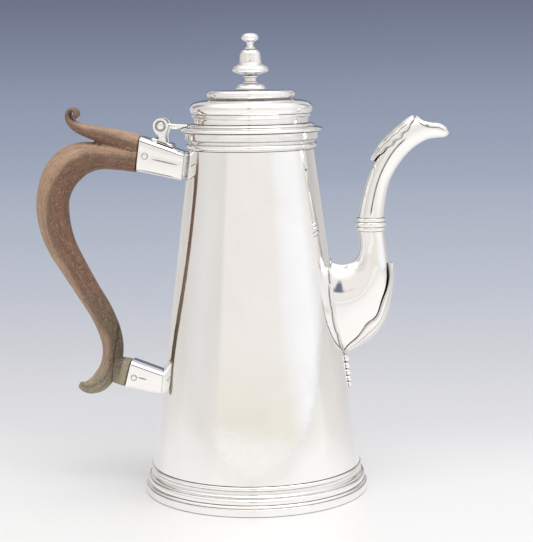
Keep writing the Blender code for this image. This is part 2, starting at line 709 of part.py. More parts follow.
def make_spout_drop(parts, cutters, silver):
    """A string of shrinking beads on the body under the spout."""
    stations = []
    for z, radius in DROP_BEADS:
        x = body_radius(z) + 0.4
        stations += [(x, z + radius, radius * 0.45), (x, z + radius * 0.5, radius),
                     (x, z - radius * 0.5, radius)]
    stations.append((body_radius(DROP_TIP_Z) + 0.5, DROP_TIP_Z, 0.5))
    drop = rod("spout_drop", stations, 1.0, parts, silver, sides=3, resolution=2)
    return cut(drop, bake(body_cone("drop_trim", GAP, cutters)))


# ---------------------------------------------------------------- assembly


def parent_all(parts, cutters):
    """Stands the pot over the middle of its own length, with the lid under its hinge."""
    pot_axis = bpy.data.objects.new("pot_axis", None)
    pot_axis.location = (AXIS_X * MM, 0, 0)
    hinge_axis = bpy.data.objects.new("lid_hinge_axis", None)
    hinge_axis.location = (HINGE_X * MM, 0, HINGE_Z * MM)
    hinge_axis.parent = pot_axis
    for obj in list(cutters.objects):
        obj.parent = pot_axis
    for obj in list(parts.objects):
        on_lid = obj.name.startswith(("lid_", "finial_"))
        obj.parent = hinge_axis if on_lid else pot_axis
        if on_lid:
            obj.location -= hinge_axis.location
    parts.objects.link(pot_axis)
    parts.objects.link(hinge_axis)


def main():
    clear_scene()
    parts = new_collection("silver_coffee_pot")
    cutters = new_collection("cutters")
    silver = finish("polished_silver", (0.90, 0.89, 0.87), 0.10, 1.0)
    wood = finish("carved_wood", (0.33, 0.20, 0.13), 0.50, 0.0)

    make_body_shell(parts, cutters, silver)
    make_base_plate(parts, silver)
    make_foot_ring(parts, silver)
    make_rim_moulding(parts, silver)
    make_lid_cover(parts, silver)
    make_lid_rim(parts, silver)
    make_lid_bezel(parts, silver)
    make_finial(parts, silver)
    make_hinge(parts, cutters, silver)
    make_sockets(parts, cutters, silver)
    make_handle(parts, cutters, wood)
    make_spout(parts, cutters, silver)
    parent_all(parts, cutters)


main()
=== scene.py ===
"""Looks of the silver coffee pot: finely turned and lofted silver, a carved wooden handle,
and a pale sweep with its light and fall-off painted in, under soft studio light.

Shapes are in millimetres from the pot's own axis and the table, as in the CAD part, and MM
turns them into metres. The spout points along +X and the handle along -X.
"""

import math

import bmesh
import bpy
import numpy as np
from mathutils import Matrix, Vector


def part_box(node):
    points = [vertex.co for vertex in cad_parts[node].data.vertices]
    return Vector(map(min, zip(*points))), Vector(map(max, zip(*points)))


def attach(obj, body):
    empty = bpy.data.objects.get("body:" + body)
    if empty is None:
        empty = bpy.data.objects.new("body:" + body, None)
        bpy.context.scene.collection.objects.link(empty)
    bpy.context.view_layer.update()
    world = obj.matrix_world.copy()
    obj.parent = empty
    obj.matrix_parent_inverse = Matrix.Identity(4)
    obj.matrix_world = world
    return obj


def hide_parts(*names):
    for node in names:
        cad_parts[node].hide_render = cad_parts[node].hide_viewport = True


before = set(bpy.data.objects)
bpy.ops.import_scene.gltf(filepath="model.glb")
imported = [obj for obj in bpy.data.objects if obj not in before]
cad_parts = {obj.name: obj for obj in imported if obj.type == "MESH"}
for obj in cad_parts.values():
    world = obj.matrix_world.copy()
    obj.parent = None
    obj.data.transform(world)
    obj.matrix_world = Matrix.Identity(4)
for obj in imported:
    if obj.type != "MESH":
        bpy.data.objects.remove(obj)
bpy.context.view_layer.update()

MM = 0.001
FOOT_LOW, FOOT_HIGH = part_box("foot_ring")
AXIS_X = (FOOT_LOW.x + FOOT_HIGH.x) / 2 / MM
BODY_LOW, BODY_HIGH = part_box("body_shell")
BODY_BOTTOM_Z = BODY_LOW.z / MM
BODY_TOP_Z = BODY_HIGH.z / MM
BODY_BOTTOM_R = BODY_HIGH.y / MM
FOOT_R = FOOT_HIGH.y / MM
BODY_TOP_R = 30.0
WALL = 1.0
SLOPE = (BODY_BOTTOM_R - BODY_TOP_R) / (BODY_TOP_Z - BODY_BOTTOM_Z)
PIN_LOW, PIN_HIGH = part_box("hinge_pin")
HINGE_X = (PIN_LOW.x + PIN_HIGH.x) / 2 / MM - AXIS_X
HINGE_Z = (PIN_LOW.z + PIN_HIGH.z) / 2 / MM

FINE_STEPS = 192
SMALL_STEPS = 96
SHARP = math.radians(38)

# How dark the silver is painted at the bottom of a cut line, from 0 to 1, partly as tarnish and
# partly as painted shade, and how deep and how near the line a point has to lie to be dark, as
# shares of the radius of the cut.
LINE_DARK = 0.95
LINE_DEEP = 0.3
LINE_NEAR = 1.6


def body_radius(z):
    """The radius of the body's outer surface at a height."""
    return BODY_TOP_R + (BODY_TOP_Z - z) * SLOPE


def between(start, end, share):
    """The number or point at a share of the way from start to end."""
    return start + (end - start) * share


def circle_points(count):
    """Evenly spread points of a circle of radius 1, as (cosine, sine)."""
    return [(math.cos(math.tau * k / count), math.sin(math.tau * k / count)) for k in range(count)]


def squared_off(value, power):
    """A cosine or sine pushed outwards, which makes a circle into a rounded rectangle."""
    return math.copysign(abs(value) ** power, value)


# ---------------------------------------------------------------- materials


# The Mix node's inputs for its factor and its two colours, and its output for the mixed colour.
MIX_FACTOR, MIX_FIRST, MIX_SECOND, MIX_RESULT = 0, 6, 7, 2


class Nodes:
    """Short calls for building the nodes of one material or world."""

    def __init__(self, owner, shader="Principled BSDF"):
        owner.use_nodes = True
        self.owner = owner
        self.tree = owner.node_tree
        self.shader = self.tree.nodes[shader]

    def new(self, kind, inputs=None, **settings):
        node = self.tree.nodes.new(kind)
        for key, value in settings.items():
            setattr(node, key, value)
        for key, value in (inputs or {}).items():
            self.set(node, key, value)
        return node

    def set(self, node, key, value):
        """Links a socket to an input, or gives the input a value. A colour has no alpha here."""
        if isinstance(value, bpy.types.NodeSocket):
            self.tree.links.new(value, node.inputs[key])
        elif node.inputs[key].type == "RGBA":
            node.inputs[key].default_value = (*value, 1.0)
        else:
            node.inputs[key].default_value = value

    def coords(self):
        return self.new("ShaderNodeTexCoord").outputs["Object"]

    def scaled(self, vector, scale):
        node = self.new("ShaderNodeMapping", {"Vector": vector, "Scale": scale})
        return node.outputs["Vector"]

    def noise(self, vector, scale, detail, roughness=0.5, distortion=0.0):
        node = self.new("ShaderNodeTexNoise", {
            "Vector": vector, "Scale": scale, "Detail": detail, "Roughness": roughness,
            "Distortion": distortion})
        return node.outputs["Fac"]

    def ramp(self, factor, stops):
        """A colour ramp through (position, colour) stops."""
        node = self.new("ShaderNodeValToRGB", {"Fac": factor})
        elements = node.color_ramp.elements
        while len(elements) < len(stops):
            elements.new(0.5)
        for element, (position, color) in zip(elements, stops):
            element.position = position
            element.color = (*color, 1.0)
        return node.outputs["Color"]

    def spread(self, value, low, high, to_low=0.0, to_high=1.0):
        """Maps low to high onto to_low to to_high, and holds the ends beyond them."""
        node = self.new("ShaderNodeMapRange", {
            "Value": value, "From Min": low, "From Max": high, "To Min": to_low,
            "To Max": to_high})
        return node.outputs["Result"]

    def mix(self, factor, first, second):
        node = self.new("ShaderNodeMix", data_type="RGBA")
        self.set(node, MIX_FACTOR, factor)
        self.set(node, MIX_FIRST, first)
        self.set(node, MIX_SECOND, second)
        return node.outputs[MIX_RESULT]

    def math(self, operation, first, second=0.0):
        node = self.new("ShaderNodeMath", operation=operation)
        self.set(node, 0, first)
        self.set(node, 1, second)
        return node.outputs[0]

    def attribute(self, name, output):
        return self.new("ShaderNodeAttribute", attribute_name=name).outputs[output]

    def bump(self, height, distance, strength=1.0, normal=None):
        inputs = {"Height": height, "Distance": distance, "Strength": strength}
        if normal:
            inputs["Normal"] = normal
        return self.new("ShaderNodeBump", inputs).outputs["Normal"]


# How near another surface has to be for the silver between them to stay dark, as painted shade and
# tarnish, in metres.
SEAM_REACH = 0.0011
# The colour of the grooves and seams: partly tarnish, partly painted shade.
TARNISH_AND_SHADE = (0.16, 0.14, 0.135)


def silver_material(name, light, warm, smooth, rough, wave, scratch):
    """Polished silver: cloudy thin tarnish, rubbing marks, a hand-hammered waviness, and
    darker metal in the grooves and seams, partly tarnish and partly painted shade."""
    n = Nodes(bpy.data.materials.new(name))
    here = n.coords()
    cloud = n.noise(here, 38.0, 4.0, 0.6, 0.4)
    fine = n.noise(here, 420.0, 3.0, 0.6)
    color = n.mix(n.spread(cloud, 0.35, 0.7), light, warm)
    # Painted shade: ambient occlusion darkens the silver where surfaces meet.
    open_sky = n.new("ShaderNodeAmbientOcclusion", {"Distance": SEAM_REACH}, samples=8)
    seam_shade = n.spread(open_sky.outputs["AO"], 0.62, 0.30, 0.0, 0.9)
    crevice = n.math("MAXIMUM", n.attribute("crevice", "Fac"), seam_shade)
    speckled = n.math("MULTIPLY", crevice, n.spread(fine, 0.3, 0.7, 0.65, 1.0))
    # The grooves and seams darkened: partly tarnish, partly painted shade.
    color = n.mix(speckled, color, TARNISH_AND_SHADE)
    n.set(n.shader, "Base Color", color)
    n.shader.inputs["Metallic"].default_value = 1.0
    rubbed = n.spread(fine, 0.3, 0.75, smooth, rough)
    n.set(n.shader, "Roughness", n.math("ADD", rubbed, n.math("MULTIPLY", crevice, 0.25)))
    hammered = n.noise(here, 70.0, 3.0, 0.55)
    lines = n.noise(n.scaled(here, (500.0, 500.0, 2600.0)), 1.0, 2.0, 0.6)
    n.set(n.shader, "Normal", n.bump(lines, scratch, normal=n.bump(hammered, wave)))
    return n.owner


# The wood's colours from its dark to its pale streaks.
STREAK_STOPS = (0.25, 0.50, 0.75)
WOOD_OUTER = ((0.270, 0.170, 0.108), (0.395, 0.255, 0.170), (0.500, 0.330, 0.230))
WOOD_INNER = ((0.105, 0.050, 0.030), (0.180, 0.092, 0.060), (0.260, 0.140, 0.094))
WOOD_OLIVE = ((0.055, 0.050, 0.030), (0.105, 0.094, 0.060), (0.170, 0.148, 0.098))
WOOD_PALE = ((0.215, 0.185, 0.125), (0.345, 0.300, 0.212), (0.470, 0.410, 0.300))

# Where along the handle the olive bend, the pale stub and the pale toe begin and are full, in
# metres from the upper socket.
OLIVE_FROM, OLIVE_FULL = 0.096, 0.128
STUB_FROM, STUB_FULL = 0.125, 0.132
TOE_FROM, TOE_FULL = 0.138, 0.152


def wood_material():
    """Old waxed fruitwood: fine speckled pores, a tan outer side and a redder inner side with a
    dark line between them, an olive bend at the lower end and paler worn ends."""
    n = Nodes(bpy.data.materials.new("carved_fruitwood"))
    grain = n.attribute("grain", "Vector")
    split = n.new("ShaderNodeSeparateXYZ", {"Vector": grain})
    along, side = split.outputs["X"], split.outputs["Y"]
    streaks = n.noise(n.scaled(grain, (90.0, 620.0, 620.0)), 1.0, 5.0, 0.65, 0.8)
    pores = n.noise(n.scaled(grain, (700.0, 1900.0, 1900.0)), 1.0, 3.0, 0.7)
    specks = n.noise(grain, 1500.0, 2.0, 0.6)
    patches = n.noise(n.scaled(grain, (40.0, 90.0, 90.0)), 1.0, 3.0, 0.5, 0.5)
    outer, inner, olive, pale = (
        n.ramp(streaks, list(zip(STREAK_STOPS, tones)))
        for tones in (WOOD_OUTER, WOOD_INNER, WOOD_OLIVE, WOOD_PALE))

    towards = n.math("ADD", side, n.spread(patches, 0.3, 0.7, -0.0020, 0.0020))
    color = n.mix(n.spread(towards, -0.0012, 0.0040), inner, outer)
    bend = n.math("MULTIPLY", n.spread(along, OLIVE_FROM, OLIVE_FULL, 0.0, 0.90),
                  n.spread(towards, 0.004, -0.002, 0.15, 1.0))
    color = n.mix(bend, color, olive)
    toe = n.spread(along, TOE_FROM, TOE_FULL, 0.0, 0.8)
    stub = n.math("MULTIPLY", n.spread(along, STUB_FROM, STUB_FULL),
                  n.spread(side, -0.0055, -0.0070, 0.0, 0.85))
    color = n.mix(n.math("MAXIMUM", toe, stub), color, pale)

    off_line = n.math("ABSOLUTE", n.math("SUBTRACT", towards, 0.0006))
    line = n.math("MULTIPLY", n.spread(off_line, 0.0003, 0.0018, 0.78, 0.0),
                  n.spread(specks, 0.38, 0.60, 0.10, 1.0))
    color = n.mix(line, color, (0.050, 0.042, 0.028))
    color = n.mix(n.spread(pores, 0.48, 0.30, 0.0, 0.75), color, (0.060, 0.042, 0.028))
    color = n.mix(n.spread(specks, 0.52, 0.70, 0.0, 0.50), color, (0.48, 0.36, 0.26))
    # Painted shade in the slit under the thumb piece and at the sockets' mouths.
    color = n.mix(n.attribute("crevice", "Fac"), color, (0.022, 0.016, 0.010))
    n.set(n.shader, "Base Color", color)
    n.set(n.shader, "Roughness", n.spread(streaks, 0.3, 0.7, 0.62, 0.44))
    n.shader.inputs["Specular IOR Level"].default_value = 0.35
    n.set(n.shader, "Normal", n.bump(pores, 0.00016, 0.8, n.bump(streaks, 0.00014, 0.6)))
    return n.owner


SILVER = silver_material(
    "polished_silver", light=(0.945, 0.938, 0.928), warm=(0.910, 0.895, 0.872),
    smooth=0.035, rough=0.085, wave=0.000028, scratch=0.0000012)
SILVER_CAST = silver_material(
    "cast_silver", light=(0.935, 0.925, 0.912), warm=(0.860, 0.838, 0.805),
    smooth=0.050, rough=0.130, wave=0.000030, scratch=0.0000030)
SILVER_INSIDE = silver_material(
    "silver_inside", light=(0.800, 0.785, 0.755), warm=(0.660, 0.630, 0.580),
    smooth=0.220, rough=0.380, wave=0.000040, scratch=0.0000080)
WOOD = wood_material()


# ---------------------------------------------------------------- meshes


def finish_mesh(obj):
    """Shades an object smooth, with its sharp edges kept."""
    obj.data.shade_smooth()
    obj.data.set_sharp_from_angle(angle=SHARP)
    return obj


def make_mesh(name, points, faces):
    """An object from points in millimetres in the pot's own frame, with its faces turned out."""
    bm = bmesh.new()
    verts = [bm.verts.new(((x + AXIS_X) * MM, y * MM, z * MM)) for x, y, z in points]
    for face in faces:
        bm.faces.new([verts[i] for i in face])
    bmesh.ops.recalc_face_normals(bm, faces=bm.faces)
    mesh = bpy.data.meshes.new(name)
    bm.to_mesh(mesh)
    bm.free()
    obj = bpy.data.objects.new(name, mesh)
    bpy.context.scene.collection.objects.link(obj)
    return finish_mesh(obj)


def store(obj, name, values):
    """Keeps one number for each vertex in a named attribute, in place of any that a cut left."""
    if name in obj.data.attributes:
        obj.data.attributes.remove(obj.data.attributes[name])
    attribute = obj.data.attributes.new(name, "FLOAT", "POINT")
    attribute.data.foreach_set("value", np.asarray(values, np.float32))


def vertices_of(obj):
    """Where an object's vertices lie, in millimetres in the pot's own frame."""
    co = np.zeros(len(obj.data.vertices) * 3, np.float32)
    obj.data.vertices.foreach_get("co", co)
    co = co.reshape(-1, 3) / MM
    co[:, 0] -= AXIS_X
    return co


def mark_lines(obj, lines):
    """Darkens the bottoms of lines cut into the two sides of a piece, as painted shade and tarnish.
    Each line is its points on one side, in millimetres, and the radius of the cut."""
    co = vertices_of(obj)
    co[:, 1] = np.abs(co[:, 1])
    marks = np.zeros(len(co))
    for points, radius in lines:
        points = np.array([(x, abs(y), z) for x, y, z in points])
        gap = np.linalg.norm(co[:, None] - points[None], axis=2)
        sunk = points[gap.argmin(axis=1), 1] - co[:, 1] > LINE_DEEP * radius
        marks[sunk & (gap.min(axis=1) < LINE_NEAR * radius)] = LINE_DARK
    store(obj, "crevice", marks)


def place(obj, body, nodes, material):
    """Gives a piece its material, the body it rides on and the CAD nodes it stands for."""
    obj.data.materials.clear()
    obj.data.materials.append(material)
    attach(obj, body)
    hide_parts(*nodes)


def curve_through(points, per_span):
    """Points along a Catmull-Rom curve through the given tuples."""
    ends = [points[0], *points, points[-1]]
    made = []
    for i in range(len(points) - 1):
        a, b, c, d = (np.array(p, float) for p in ends[i:i + 4])
        for step in range(per_span):
            t = step / per_span
            made.append(0.5 * (2 * b + (c - a) * t + (2 * a - 5 * b + 4 * c - d) * t**2
                               + (3 * b - a - 3 * c + d) * t**3))
    made.append(np.array(points[-1], float))
    return made


def outline_of(start, runs):
    """One outline from runs of points, each from where the one before it ended: straight to a
    single point, smooth through several, with a corner where runs meet."""
    made = [np.array(start, float)]
    for run in runs:
        if len(run) == 1:
            made.append(np.array(run[0], float))
        else:
            made += curve_through([made[-1], *run], 5)[1:]
    return made


# A groove in a turned outline: the least length that its bend is measured over and how far the
# dark of its painted shade and tarnish spreads from it, in millimetres, then how dark a bend makes
# it and its darkest.
GROOVE_REACH = 0.25
GROOVE_SPREAD = 0.22
GROOVE_SHARE = 0.42
GROOVE_DARK = 0.75


def crevices(outline, closed):
    """How deep in a groove each point of an outline lies, from 0 to 1."""
    points = np.array(outline)
    before = points - np.roll(points, 1, axis=0)
    after = np.roll(points, -1, axis=0) - points
    turn = before[:, 0] * after[:, 1] - before[:, 1] * after[:, 0]
    lengths = np.linalg.norm(before, axis=1), np.linalg.norm(after, axis=1)
    bend = np.arcsin(np.clip(turn / (lengths[0] * lengths[1] + 1e-9), -1, 1))
    hollow = np.clip(bend / np.maximum(sum(lengths) / 2, GROOVE_REACH), 0, None)
    if not closed:
        hollow[0] = hollow[-1] = 0.0
    gap = np.linalg.norm(points[:, None] - points[None], axis=2)
    near = np.exp(-(gap / GROOVE_SPREAD) ** 2)
    return np.clip((near * hollow[None]).max(axis=1) * GROOVE_SHARE, 0, GROOVE_DARK)


def turned(name, start, runs, steps=FINE_STEPS, at=(0.0, 0.0), closed=True):
    """A turned piece. A closed outline makes a ring, and its last point joins its start. An open
    one starts and ends on the axis."""
    outline = outline_of(start, runs)
    depth = crevices(outline, closed)
    points, faces, marks, rows = [], [], [], []
    for (r, z), mark in zip(outline, depth):
        if r < 1e-6:
            rows.append([len(points)] * steps)
            points.append((at[0], at[1], z))
            marks.append(mark)
            continue
        rows.append(list(range(len(points), len(points) + steps)))
        points += [(at[0] + r * c, at[1] + r * s, z) for c, s in circle_points(steps)]
        marks += [mark] * steps
    pairs = list(zip(rows, rows[1:]))
    if closed:
        pairs.append((rows[-1], rows[0]))
    for row, following in pairs:
        for k in range(steps):
            j = (k + 1) % steps
            face = [row[k], row[j], following[j], following[k]]
            face = [v for i, v in enumerate(face) if v != face[i - 1]]
            if len(face) > 2:
                faces.append(face)
    obj = make_mesh(name, points, faces)
    # The grooves' darkness: partly tarnish, partly painted shade.
    store(obj, "crevice", marks)
    return obj


def band(first, second, count):
    """Faces between two rings of count points, from the number of each ring's first point."""
    faces = []
    for k in range(count):
        j = (k + 1) % count
        faces.append([first + k, first + j, second + j, second + k])
    return faces


def loft(name, rings, capped):
    """A surface through rings of equal length. It is capped, or its last ring joins its first."""
    count = len(rings[0])
    points = [tuple(p) for ring in rings for p in ring]
    faces = []
    for i in range(len(rings) - 1 if capped else len(rings)):
        faces += band(i * count, (i + 1) % len(rings) * count, count)
    if capped:
        faces.append(list(range(count)))
        faces.append(list(range(len(points) - count, len(points))))
    return make_mesh(name, points, faces)


def cut_away(obj, other):
    """Cuts the other object out of this one and removes it."""
    modifier = obj.modifiers.new("cut", "BOOLEAN")
    modifier.solver = "EXACT"
    modifier.operation = "DIFFERENCE"
    modifier.object = other
    apply_modifiers(obj)
    bpy.data.objects.remove(other, do_unlink=True)
    return finish_mesh(obj)


def apply_modifiers(obj):
    """Makes what an object's modifiers show into its own mesh."""
    bpy.context.view_layer.update()
    graph = bpy.context.evaluated_depsgraph_get()
    mesh = bpy.data.meshes.new_from_object(obj.evaluated_get(graph))
    obj.modifiers.clear()
    obj.data = mesh
    return obj


def round_edges(obj, width):
    """Rounds an object's sharp edges, with a radius in millimetres."""
    bevel = obj.modifiers.new("edges", "BEVEL")
    bevel.width = width * MM
    bevel.segments = 3
    bevel.limit_method = "ANGLE"
    bevel.angle_limit = math.radians(35.0)
    bevel.harden_normals = False
    apply_modifiers(obj)
    return finish_mesh(obj)


def body_cone(proud):
    """The body's outer surface moved outwards, as a solid that trims what meets it."""
    above = 190.0
    high = (body_radius(above) + proud, above)
    low = (body_radius(0.0) + proud, 0.0)
    return turned("cone_cutter", (0.0, above), [[high], [low], [(0.0, 0.0)]], closed=False)


def plate(name, outline, low_y, high_y):
    """A flat plate in the XZ plane between two values of Y, from a closed outline of (x, z)."""
    rings = [[(x, y, z) for x, z in outline] for y in (low_y, high_y)]
    return loft(name, rings, capped=True)


def drill(name, radius, centre, half_length, axis="Y", steps=48):
    """A cylinder along Y or X, often for cutting."""
    x, y, z = centre
    circle = [(radius * c, radius * s) for c, s in circle_points(steps)]
    rings = []
    for along in (-half_length, half_length):
        if axis == "Y":
            rings.append([(x + u, y + along, z + v) for u, v in circle])
        else:
            rings.append([(x + along, y + u, z + v) for u, v in circle])
    return loft(name, rings, capped=True)


def knob(name, radius, centre, reach, dome, facing):
    """A domed pin on one side of a piece, facing -1 or +1 along Y, with a seat darkened as painted
    shade and tarnish. It stands reach proud of its centre, and dome more in the middle."""
    x, y, z = centre
    steps = 40
    profile = [(radius * 0.55, reach + dome * 0.8), (radius * 0.9, reach + dome * 0.35),
               (radius, reach), (radius * 1.25, 0.0)]
    points = [(x, y + facing * (reach + dome), z)]
    for r, along in profile:
        points += [(x + r * c, y + facing * along, z + r * s) for c, s in circle_points(steps)]
    faces = [[0, 1 + k, 1 + (k + 1) % steps] for k in range(steps)]
    for i in range(len(profile) - 1):
        faces += band(1 + i * steps, 1 + (i + 1) * steps, steps)
    faces.append(list(range(len(points) - steps, len(points))))
    obj = make_mesh(name, points, faces)
    marks = [0.0]
    for mark in (0.0, 0.3, LINE_DARK, LINE_DARK):
        marks += [mark] * steps
    store(obj, "crevice", marks)
    return obj


def joined(name, objects):
    """One object from several, with the dark marks of each."""
    bm = bmesh.new()
    marks = []
    for obj in objects:
        values = np.zeros(len(obj.data.vertices), np.float32)
        if "crevice" in obj.data.attributes:
            obj.data.attributes["crevice"].data.foreach_get("value", values)
            obj.data.attributes.remove(obj.data.attributes["crevice"])
        marks.append(values)
        bm.from_mesh(obj.data)
    mesh = bpy.data.meshes.new(name)
    bm.to_mesh(mesh)
    bm.free()
    for obj in objects:
        bpy.data.objects.remove(obj, do_unlink=True)
    made = bpy.data.objects.new(name, mesh)
    bpy.context.scene.collection.objects.link(made)
    store(made, "crevice", np.concatenate(marks))
    return finish_mesh(made)


def bead_along(name, path, radius, sides=12, closed=False):
    """A round wire through a list of points, with pointed-in ends if it isn't closed."""
    path = [np.array(p, float) for p in path]
    rings = []
    count = len(path)
    for i, point in enumerate(path):
        ahead = path[(i + 1) % count] if closed else path[min(i + 1, count - 1)]
        behind = path[i - 1] if closed or i else path[0]
        tangent = Vector(ahead - behind).normalized()
        across = tangent.cross(Vector((0, 0, 1)))
        if across.length < 1e-3:
            across = tangent.cross(Vector((0, 1, 0)))
        across.normalize()
        up = across.cross(tangent).normalized()
        r = radius
        if not closed:
            r *= min(1.0, 0.25 * min(i, count - 1 - i) + 0.15)
        rings.append([tuple(Vector(point) + (across * c + up * s) * r)
                      for c, s in circle_points(sides)])
    return loft(name, rings, capped=not closed)


# ---------------------------------------------------------------- body, foot and rim


FOOT_EDGE_R = FOOT_R - 0.06
STRAINER_Z = 96.0
STRAINER_HALF_WIDTH = 4.96
STRAINER_HALF_HEIGHT = 8.0
STRAINER_HOLE_R = 2.6


def make_body():
    """The tapered wall with the strainer holes behind the spout's root, the stepped foot and the
    moulding round the mouth."""
    top, low = BODY_TOP_Z, BODY_BOTTOM_Z
    wall = turned("pot_body", (BODY_TOP_R, top), [
        [(BODY_BOTTOM_R, low)], [(BODY_BOTTOM_R - WALL, low)], [(BODY_TOP_R - WALL, top)],
    ])
    holes = [(STRAINER_HALF_WIDTH * c, STRAINER_Z + STRAINER_HALF_HEIGHT * s)
             for c, s in circle_points(6)]
    for y, z in [*holes, (0.0, STRAINER_Z)]:
        cut_away(wall, drill("strainer", STRAINER_HOLE_R, (body_radius(z), y, z), 6.0, "X"))
    place(wall, "pot", ["body_shell"], SILVER)

    foot = turned("pot_foot", (50.2, 13.4), [
        [(51.0, 13.3), (51.5, 12.6), (51.45, 11.9), (51.0, 11.4)],
        [(50.85, 10.7), (51.0, 9.7), (51.6, 8.9), (52.3, 8.5)],
        [(52.35, 8.0)],
        [(52.95, 7.5), (53.2, 6.6), (53.1, 5.7), (52.8, 5.2)],
        [(53.3, 5.0), (53.75, 4.6), (53.75, 4.1), (53.6, 3.8)],
        [(54.0, 3.7), (FOOT_EDGE_R, 3.2), (FOOT_EDGE_R, 0.7), (54.1, 0.15), (53.8, 0.0)],
        [(51.6, 0.0)], [(51.6, 6.0)], [(49.6, 9.8)], [(49.4, 13.4)],
    ])
    place(foot, "pot", ["foot_ring"], SILVER)

    rim = turned("mouth_moulding", (28.8, 174.4), [
        [(31.5, 174.4)],
        [(31.9, 174.3), (32.0, 173.9), (32.0, 171.4), (31.9, 171.0), (31.5, 170.8)],
        [(30.8, 170.6), (30.45, 170.1), (30.4, 169.5), (30.6, 169.0)],
        [(31.2, 168.7), (31.5, 168.0), (31.3, 167.3), (30.7, 167.0)],
        [(30.3, 166.7), (30.15, 166.3)],
        [(28.8, 166.3)],
    ])
    place(rim, "pot", ["rim_moulding"], SILVER)


# ---------------------------------------------------------------- lid and finial


def make_lid():
    """The stepped dome, the broad edge over the mouth and the bezel that fits inside it."""
    cover = turned("lid_dome", (3.4, 194.15), [
        [(12.0, 194.05), (18.6, 193.95), (20.4, 193.6), (21.2, 192.7), (21.2, 191.6),
         (20.7, 190.8), (20.1, 190.35)],
        [(20.5, 189.95), (21.6, 189.65), (23.8, 189.3), (26.2, 188.75), (28.2, 187.9),
         (29.3, 186.6), (29.5, 185.3), (29.1, 183.9), (28.5, 183.0)],
        [(28.75, 182.6), (28.5, 182.0)],
        [(27.9, 181.3), (27.5, 180.2), (27.4, 178.6)],
        [(26.2, 178.6)],
        [(26.3, 180.8), (27.9, 184.4), (27.9, 186.2), (26.0, 187.4), (19.4, 189.0), (19.6, 192.4),
         (18.6, 192.9), (3.4, 193.1)],
    ])
    place(cover, "lid", ["lid_cover"], SILVER)
    edge = turned("lid_edge", (27.0, 178.3), [
        [(28.6, 178.3)],
        [(29.5, 178.2), (30.2, 177.7), (30.45, 176.9)],
        [(31.6, 176.75), (32.9, 176.4), (33.8, 175.95), (34.05, 175.5), (33.85, 175.05),
         (33.3, 174.72)],
        [(27.0, 174.72)],
    ])
    place(edge, "lid", ["lid_rim"], SILVER)
    bezel = turned("lid_bezel_ring", (26.8, 174.4), [
        [(27.8, 174.4)], [(27.8, 171.2)],
        [(27.65, 170.8), (27.3, 170.62)],
        [(26.8, 170.62)],
    ])
    place(bezel, "lid", ["lid_bezel"], SILVER_INSIDE)


def make_finial():
    """The finial's foot, bell and button, turned one above another."""
    foot = turned("finial_foot_turned", (1.5, 200.9), [
        [(3.2, 200.9)],
        [(3.5, 200.6), (3.4, 200.2), (3.0, 200.0)],
        [(2.75, 199.4), (2.7, 198.8), (2.95, 198.1)],
        [(3.4, 197.9), (3.5, 197.5), (3.4, 197.25)],
        [(4.8, 196.95), (6.3, 196.3), (7.15, 195.3), (7.3, 194.5)],
        [(1.5, 194.5)],
    ], SMALL_STEPS)
    place(foot, "lid", ["finial_foot"], SILVER_CAST)
    bell = turned("finial_bell_turned", (1.5, 213.2), [
        [(2.5, 213.2)],
        [(3.4, 212.95), (4.3, 212.3), (4.85, 211.2), (5.05, 209.6), (5.2, 208.0), (5.5, 206.8),
         (6.0, 206.1)],
        [(6.6, 205.75), (7.6, 205.3), (8.5, 204.5), (8.75, 203.6), (8.3, 202.75), (7.2, 202.25)],
        [(5.6, 201.75), (4.4, 201.4), (1.5, 201.2)],
    ], SMALL_STEPS)
    place(bell, "lid", ["finial_bell"], SILVER_CAST)
    button = turned("finial_button_turned", (0.0, 220.98), [
        [(1.2, 220.92), (2.6, 220.6), (3.7, 219.9), (4.15, 218.9), (3.8, 217.9), (3.0, 217.3),
         (2.2, 216.95)],
        [(1.75, 216.4), (1.6, 215.6), (1.65, 214.9), (1.95, 214.3)],
        [(2.45, 214.1), (2.5, 213.7), (2.4, 213.5)],
        [(0.0, 213.5)],
    ], SMALL_STEPS, closed=False)
    place(button, "lid", ["finial_button"], SILVER_CAST)


# ---------------------------------------------------------------- hinge

# The sockets' corners in (x, z): the mouth's top, the root's top, the root's low side and the
# mouth's low side.
UPPER_SOCKET = [(-53.0, 172.6), (-31.0, 164.6), (-31.0, 150.8), (-55.4, 156.2)]
LOWER_SOCKET = [(-60.4, 63.1), (-40.0, 55.7), (-40.0, 44.6), (-63.9, 49.7)]
EAR_R = 3.7
EAR_Y = 4.4
EAR_HALF = 1.4
EAR_FACE = EAR_Y + EAR_HALF
EAR_RING_R = 2.35
EAR_LINE_R = 0.30
PIN_HEAD_R = 1.75
PIN_ROD_R = 1.2
KNUCKLE_R = 3.5
ROLL_R = 1.15

# The arm from the knuckle to the lid, as (x, half width, top, underside).
ARM = [
    (-42.6, 2.2, 179.2, 176.0), (-40.6, 2.3, 178.9, 175.9), (-38.6, 2.5, 178.7, 175.9),
    (-36.4, 2.9, 178.5, 175.8), (-34.0, 3.4, 178.4, 176.0), (-31.6, 3.8, 178.3, 176.6),
    (-29.8, 4.0, 178.1, 176.8),
]
ARM_SQUARE = 0.55


def socket_top(x):
    """The height of the upper socket's top side."""
    (ax, az), (bx, bz) = UPPER_SOCKET[:2]
    return between(az, bz, (x - ax) / (bx - ax))


